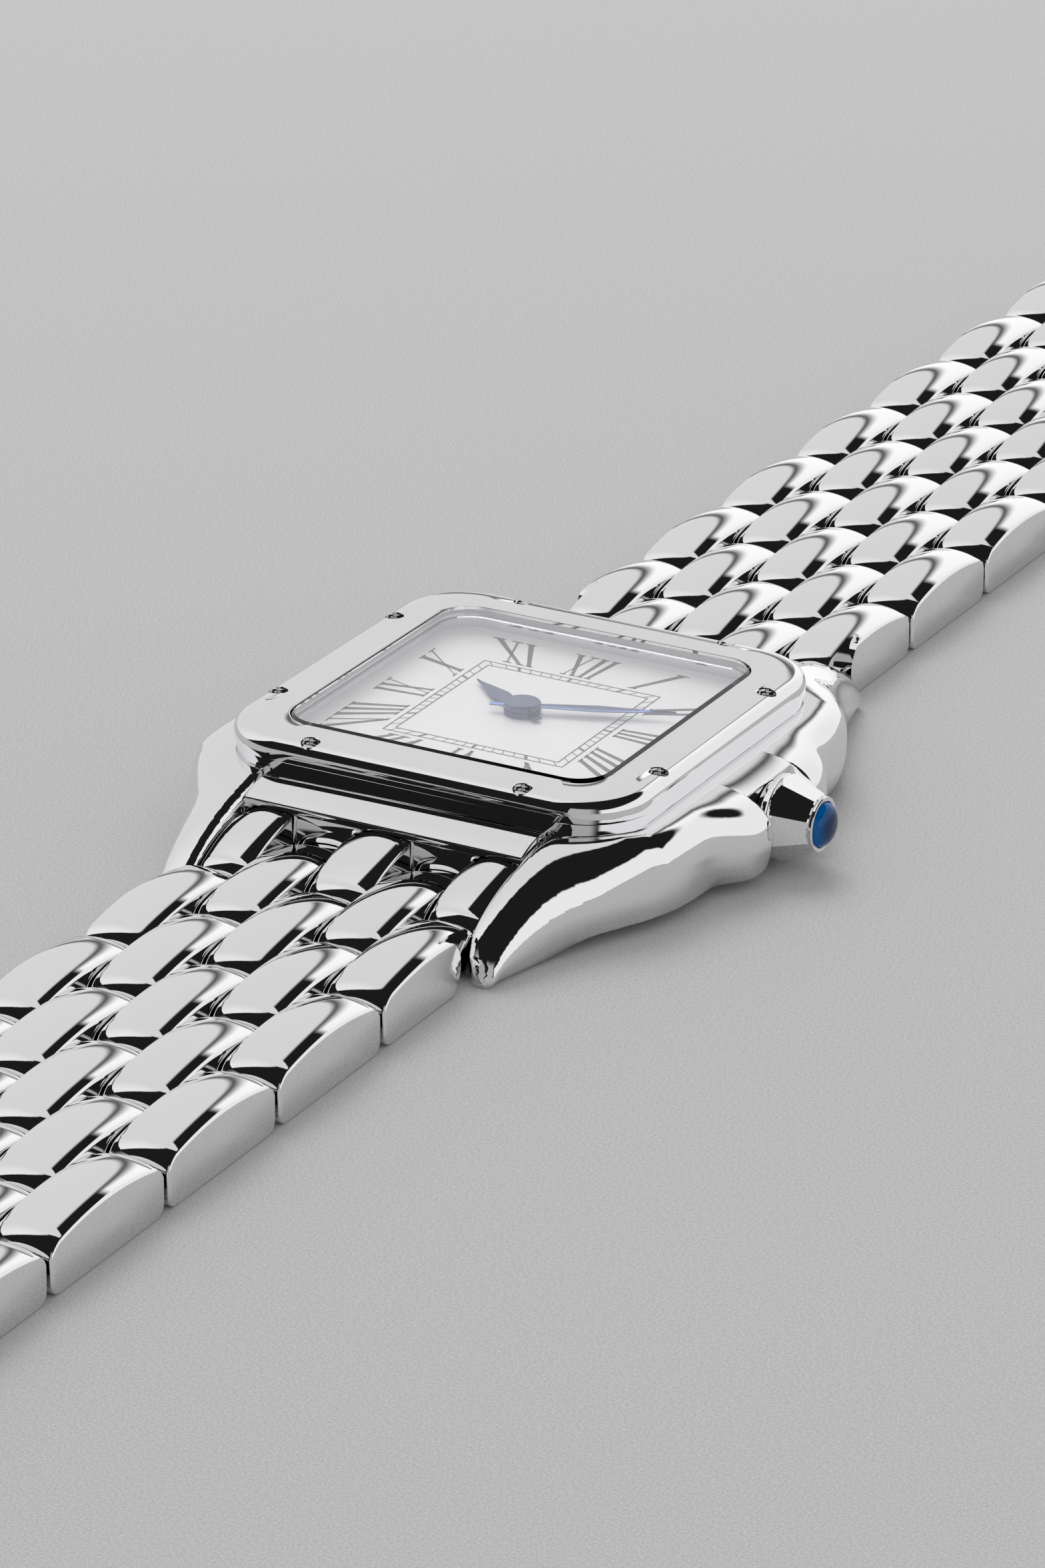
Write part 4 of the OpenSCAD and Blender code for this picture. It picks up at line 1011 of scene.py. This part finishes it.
class WATCH_OT_hands(bpy.types.Operator):
    """Blued steel hands on their round hubs"""

    bl_idname = "watch.hands"
    bl_label = "Hands"

    ridge = 0.1  # height of a blade
    hour_angle, minute_angle = 301.2, 68.4  # degrees clockwise from twelve

    def execute(self, context):
        """Builds both hands, each on its own arbor."""
        hour_hub = rod((0, 0, DIAL_HIGH[2] + 0.03), (0, 0, HOUR_FOOT + self.ridge), 0.86, sides=64)
        minute_hub = rod((0, 0, MINUTE_FOOT - 0.06), (0, 0, MINUTE_TOP), 0.84, bevel=0.06, sides=64)
        hour = self.blade(HOUR_FOOT, self.hour_angle, reach=4.1, width=0.95, root=0.5, tail=1.4)
        minute = self.blade(MINUTE_FOOT, self.minute_angle, reach=7.0, width=0.72, root=0.36, tail=1.5)
        for name, parts in (("hour", [hour, hour_hub]), ("minute", [minute, minute_hub])):
            mesh = solid(f"{name}_hand_blued", parts)
            place(f"{name}_hand_blued", mesh, "hands", f"{name}_arbor", [f"{name}_hand"], "blued_steel")
        return {"FINISHED"}

    @classmethod
    def blade(cls, z, angle, reach, width, root, tail):
        """A pointed blade with a ridge down its middle, turned to its angle."""
        rings = []
        for y in np.linspace(-tail, reach, 17):
            w = np.interp(y, (-tail, 0, reach * 0.5, reach), (root * 0.8, root, width, 0.03)) / 2
            side, top = z + cls.ridge * 0.45, z + cls.ridge
            rings.append(np.array([(-w, y, z), (w, y, z), (w, y, side), (0, y, top), (-w, y, side)]))
        points, faces = tube(rings)
        c, s = math.cos(math.radians(angle)), math.sin(math.radians(angle))
        x, y, z = points.T
        return np.column_stack([c * x + s * y, c * y - s * x, z]), faces


CROWN_SIDES = 96
COLLAR = 2.56  # where the stone's seat starts along the crown
# The crown's profile: distance from its inner end, and radius
CROWN_PROFILE = (
    (0, 1.5), (0.3, 1.62), (0.4, 1.86), (0.43, 1.92), (0.62, 1.94), (0.65, 1.91), (0.67, 1.88), (0.7, 1.89),
    (0.85, 1.95), (1.0, 1.98), (1.15, 1.99), (1.3, 1.985), (1.5, 1.955), (1.7, 1.9), (1.9, 1.81), (2.1, 1.68),
    (2.3, 1.51), (2.45, 1.34), (2.5, 1.27), (2.52, 1.24), (2.53, 1.26), (COLLAR, 1.28), (2.66, 1.28),
    (2.7, 1.26), (2.72, 1.2), (2.7, 1.08), (2.6, 1.05),
)


class WATCH_OT_crown(bpy.types.Operator):
    """Faceted crown with its blue cabochon"""

    bl_idname = "watch.crown"
    bl_label = "Crown"

    def execute(self, context):
        """Builds the crown and the stone in it, and finishes its stem, tube and lever."""
        mesh = solid("crown_faceted", [self.body()], sharp=16)
        place("crown_faceted", mesh, "polished", "crown_assembly", ["crown"], "polished_steel", even=False)
        base = CROWN_LOW[0] + COLLAR
        height, radius = STONE_END + 0.12 - base, 1.05
        domes = np.radians(np.linspace(0, 89, 20))
        rings = [self.circle(base + height * math.sin(a), radius * math.cos(a) ** 0.85) for a in domes]
        rings.insert(0, rings[0] - (0.3, 0, 0))
        mesh = solid("crown_cabochon", [tube(rings)], sharp=60)
        place("crown_cabochon", mesh, "stone", "crown_assembly", ["crown_stone"], "blue_stone", even=False)
        dress("screw", "crown_stem", "crown_tube", "setting_lever")
        return {"FINISHED"}

    @classmethod
    def body(cls):
        """A round foot, eight flats that run out into the rounded body, and a collar."""
        first, fine_end, last, flat, taper = 0.7, 2.45, 2.5, 1.93, 0.385
        fine = [CROWN_PROFILE[0]]
        for (a, ra), (b, rb) in zip(CROWN_PROFILE, CROWN_PROFILE[1:]):
            steps = 3 if first <= a < fine_end else 1
            fine += [(a + (b - a) * k / steps, ra + (rb - ra) * k / steps) for k in range(1, steps + 1)]
        off = (turns(CROWN_SIDES) + math.pi / 8) % (math.pi / 4) - math.pi / 8
        rings = []
        for a, radius in fine:
            if first <= a < last:
                radius = np.minimum(radius, (flat - taper * (a - first)) / np.cos(off))
            rings.append(cls.circle(CROWN_LOW[0] + a, radius))
        return tube(rings)

    @staticmethod
    def circle(x, radius):
        """A ring round the crown's axis."""
        a = turns(CROWN_SIDES)
        return np.column_stack([np.full(CROWN_SIDES, x), radius * np.cos(a), CROWN_Z + radius * np.sin(a)])


class WATCH_OT_bracelet(bpy.types.Operator):
    """Rows of polished links and the half links at the lugs"""

    bl_idname = "watch.bracelet"
    bl_label = "Bracelet"

    def execute(self, context):
        """Builds the rows, of which like ones share a mesh, and the half links."""
        s, case = context.scene.watch_links, context.scene.watch_case
        step = (s.across + s.column_gap) / 5 / MM
        half = (step - s.column_gap / MM) / 2
        columns = [(c * step - half, c * step + half) for c in range(-2, 3)]
        profile = link_profile(s, LINK_TOP)
        end, height, pin = s.across / MM / 2 - 0.7, s.pin_height / MM, s.pitch / MM / 4
        pins = [rod((-end, y, height), (end, y, height), s.pin / MM / 2) for y in (-pin, pin)]
        three = [link_part(profile, s, *columns[c]) for c in (0, 2, 4)] + pins
        two = [link_part(profile, s, *columns[c]) for c in (1, 3)]
        meshes = {0: solid("row_of_three", three), 1: solid("row_of_two", two)}
        for way, name, count in ((-1, "six", 12), (1, "twelve", 14)):
            for i in range(1, count + 1):
                node, piece = f"{name}_row_{i:02d}", f"{name}_links_{i:02d}"
                low, high = box_mm(node)
                middle = (low[1] + high[1]) / 2
                mesh = self.notched(three, case, way, middle) if i == 2 else meshes[i % 2]
                place(piece, mesh, "polished", node, [node], "polished_steel", (0, middle, 0), even=False)
            self.half_links(s, case, columns, name, way)
        dress("screw", "lug_pins")
        return {"FINISHED"}

    @staticmethod
    def notched(parts, case, way, middle):
        """The first row of three, with its outer links cut back to a rounded shoulder beside the lug tips."""
        side, tip, top = case.lug_gap / MM - 0.06, case.lug_tip / MM, 4.5
        r = (LINK_TOP - 0.2) / 2
        back = tip + 0.75 + r
        hollow = [(back + r * math.cos(a), r + r * math.sin(a)) for a in np.radians(np.linspace(90, 270, 25))]
        outline = [(tip - 4, top), (back, top), (back, 2 * r), *hollow[1:-1], (back, 0), (back, -1)]
        outline.append((tip - 4, -1))
        cutters = []
        for sx in (-1, 1):
            rings = [np.array([(sx * x, way * y - middle, z) for y, z in outline]) for x in (side, side + 2)]
            cutters.append(tube(rings))
        return carve(solid("row_of_three_first", parts), cutters)

    @staticmethod
    def half_links(s, case, columns, name, way):
        """Three half links against the case under the shoulder."""
        wall = BEZEL_HIGH[1] + case.bar_depth / MM - 0.1
        low, high = box_mm(f"{name}_end_links")
        profile = half_link_profile(s, max(abs(low[1]), abs(high[1])) - wall, high[2])
        limit = case.lug_gap / MM - 0.06
        parts = []
        for x0, x1 in columns[::2]:
            points, faces = link_part(profile, s, max(x0, -limit), min(x1, limit))
            parts.append((points * (1, way, 1) + (0, way * wall, 0), faces))
        mesh = solid(f"{name}_half_links", parts)
        place(f"{name}_half_links", mesh, "polished", "case", [f"{name}_end_links"], "polished_steel")


class WATCH_OT_back(bpy.types.Operator):
    """Case back, clasp and the movement's own parts"""

    bl_idname = "watch.back"
    bl_label = "Back and movement"

    def execute(self, context):
        """Gives finishes to the nodes that keep the frame's shapes."""
        dress("polished", "case_back", bevel=0.06)
        dress("screw", "case_back_screws", bevel=0.03)
        dress("clasp", "clasp_catch", "clasp_outer_blade", "clasp_inner_blade", bevel=0.12)
        dress("gasket", "case_back_gasket")
        dress("brass", "cannon_pinion", "hour_wheel", "minute_wheel", "third_wheel")
        dress("brass", "main_plate", "train_bridge")
        dress("screw", "rotor", "stator")
        dress("copper", "coil")
        dress("cell", "battery")
        dress("board", "circuit_board")
        return {"FINISHED"}


class WATCH_OT_stage(bpy.types.Operator):
    """Grained table, studio light and the camera"""

    bl_idname = "watch.stage"
    bl_label = "Stage"

    def execute(self, context):
        """Sets the photograph's camera, the table, the studio's panels and a key light."""
        scene = context.scene
        scene.view_settings.view_transform = "Standard"
        self.camera(scene)
        self.table(scene)
        self.world(scene)
        self.key_light(scene)
        return {"FINISHED"}

    @staticmethod
    def camera(scene):
        """The photograph's camera."""
        s = scene.watch_stage
        data = bpy.data.cameras.new("camera")
        data.lens, data.sensor_width, data.clip_start, data.clip_end = s.lens, 36, 0.01, 10
        camera = bpy.data.objects.new("camera", data)
        camera.location, camera.rotation_euler = s.place, s.turn
        scene.collection.objects.link(camera)
        scene.camera = camera

    @staticmethod
    def table(scene):
        """A wide disc of pale grey lacquer with a fine grain."""
        reach, thick, tone = 700, 20, scene.watch_stage.table
        ring = np.column_stack([np.cos(turns(96)), np.sin(turns(96)), np.zeros(96)]) * reach
        mesh = solid("table_top", [tube([ring, ring - (0, 0, thick)])])
        grain = principled(
            "table_grain",
            Base_Color=lambda s: s.mix(
                s.noise(8500, 3, roughness=0.7).step(0.3, 0.72), shade(tone, 0.86), shade(tone, 1.13)
            ),
            Roughness=lambda s: 0.55 + 0.15 * s.noise(4000, 2),
            Normal=lambda s: s.bump(s.noise(8000, 3), 0.4, 0.00003),
            Specular_IOR_Level=0.3,
        )
        mesh.materials.append(grain)
        piece = bpy.data.objects.new("table_top", mesh)
        scene.collection.objects.link(piece)

    @staticmethod
    def world(scene):
        """Plain light on the object, and for its reflections panels with dark gaps, placed in degrees by
        their turn from +Y towards +X and their rise over the horizon."""
        world = bpy.data.worlds.new("studio")
        scene.world = world
        s = Shader(world)
        sky = s.node("SeparateXYZ", None, {"Vector": s.node("TexCoord", out="Generated")})
        x, y, z = (Value(s, part) for part in sky.socket.node.outputs)
        rise = z.maths("ARCSINE") * (180 / math.pi)
        turn = x.maths("ARCTAN2", y) * (180 / math.pi)
        beside = x - z * 0.705 - y * 0.345 + 0.892  # the left panel ends where this is zero
        left = 1 - beside.step(-0.02, 0.02)
        left_tone = 0.75 + 0.16 * (1 - y.step(-0.4, 0.5))
        top = 40 - 12 * turn.step(60, 130)
        right = beside.step(0.0, 0.09) * turn.step(-45, -40) * (1 - turn.step(128, 136))
        right *= 1 - (rise - top).step(-2, 2)
        right_tone = 1.08 - 0.16 * turn.step(-20, 20)
        front = turn.step(132, 150) * (1 - left) * (1 - rise.step(34, 44))
        front_tone, gap_tone = 0.45, 0.012
        glow = left * left_tone + right * right_tone + front * front_tone + gap_tone
        tone = s.node("CombineColor", None, [glow, glow, glow])
        panels = s.node("Background", None, {"Color": tone, "Strength": 1.0})
        plain = s.node("Background", None, {"Color": (0.62, 0.62, 0.62), "Strength": 1.0})
        glossy = s.node("LightPath", out="Is Glossy Ray")
        clear = s.node("LightPath", out="Is Transmission Ray")
        mixed = s.node("MixShader", None, [glossy.maths("MAXIMUM", clear), plain, panels])
        s.node("OutputWorld", None, {"Surface": mixed})

    @staticmethod
    def key_light(scene):
        """A square soft light that is aimed at the watch and isn't seen in its reflections."""
        lamp = bpy.data.lights.new("key_light", "AREA")
        lamp.shape, lamp.size, lamp.size_y, lamp.energy = "RECTANGLE", 0.35, 0.35, 1.4
        key = bpy.data.objects.new("key_light", lamp)
        key.location = (-0.22, 0.3, 0.5)
        key.rotation_euler = (-key.location).to_track_quat("-Z", "Y").to_euler()
        key.visible_glossy = False
        scene.collection.objects.link(key)


class WATCH_PT_panel(bpy.types.Panel):
    """Lists the sizes, colours and building steps of the watch"""

    bl_idname = "WATCH_PT_panel"
    bl_label = "Square Wristwatch"
    bl_space_type = "VIEW_3D"
    bl_region_type = "UI"
    bl_category = "Watch"

    def draw(self, context):
        """Draws the groups and the operators."""
        for name, group in GROUPS.items():
            column = self.layout.column()
            for key in group.__annotations__:
                column.prop(getattr(context.scene, name), key)
        for operator in OPERATORS:
            self.layout.operator(operator.bl_idname)


GROUPS = {
    "watch_case": WatchCaseSizes,
    "watch_links": WatchLinkSizes,
    "watch_dial": WatchDialSizes,
    "watch_finish": WatchFinish,
    "watch_stage": WatchStage,
}
OPERATORS = (
    WATCH_OT_stage,
    WATCH_OT_case,
    WATCH_OT_bezel,
    WATCH_OT_crystal,
    WATCH_OT_dial,
    WATCH_OT_hands,
    WATCH_OT_crown,
    WATCH_OT_bracelet,
    WATCH_OT_back,
)


def register():
    """Registers the classes and puts the sizes on the scene."""
    for item in (*GROUPS.values(), *OPERATORS, WATCH_PT_panel):
        bpy.utils.register_class(item)
    for name, group in GROUPS.items():
        setattr(bpy.types.Scene, name, bpy.props.PointerProperty(type=group))


def unregister():
    """Takes the sizes and the classes away again."""
    for name in GROUPS:
        delattr(bpy.types.Scene, name)
    for item in (WATCH_PT_panel, *reversed(OPERATORS), *GROUPS.values()):
        bpy.utils.unregister_class(item)


def main():
    """Builds the whole watch."""
    register()
    for operator in OPERATORS:
        group, name = operator.bl_idname.split(".")
        getattr(getattr(bpy.ops, group), name)()


if __name__ == "__main__":
    main()
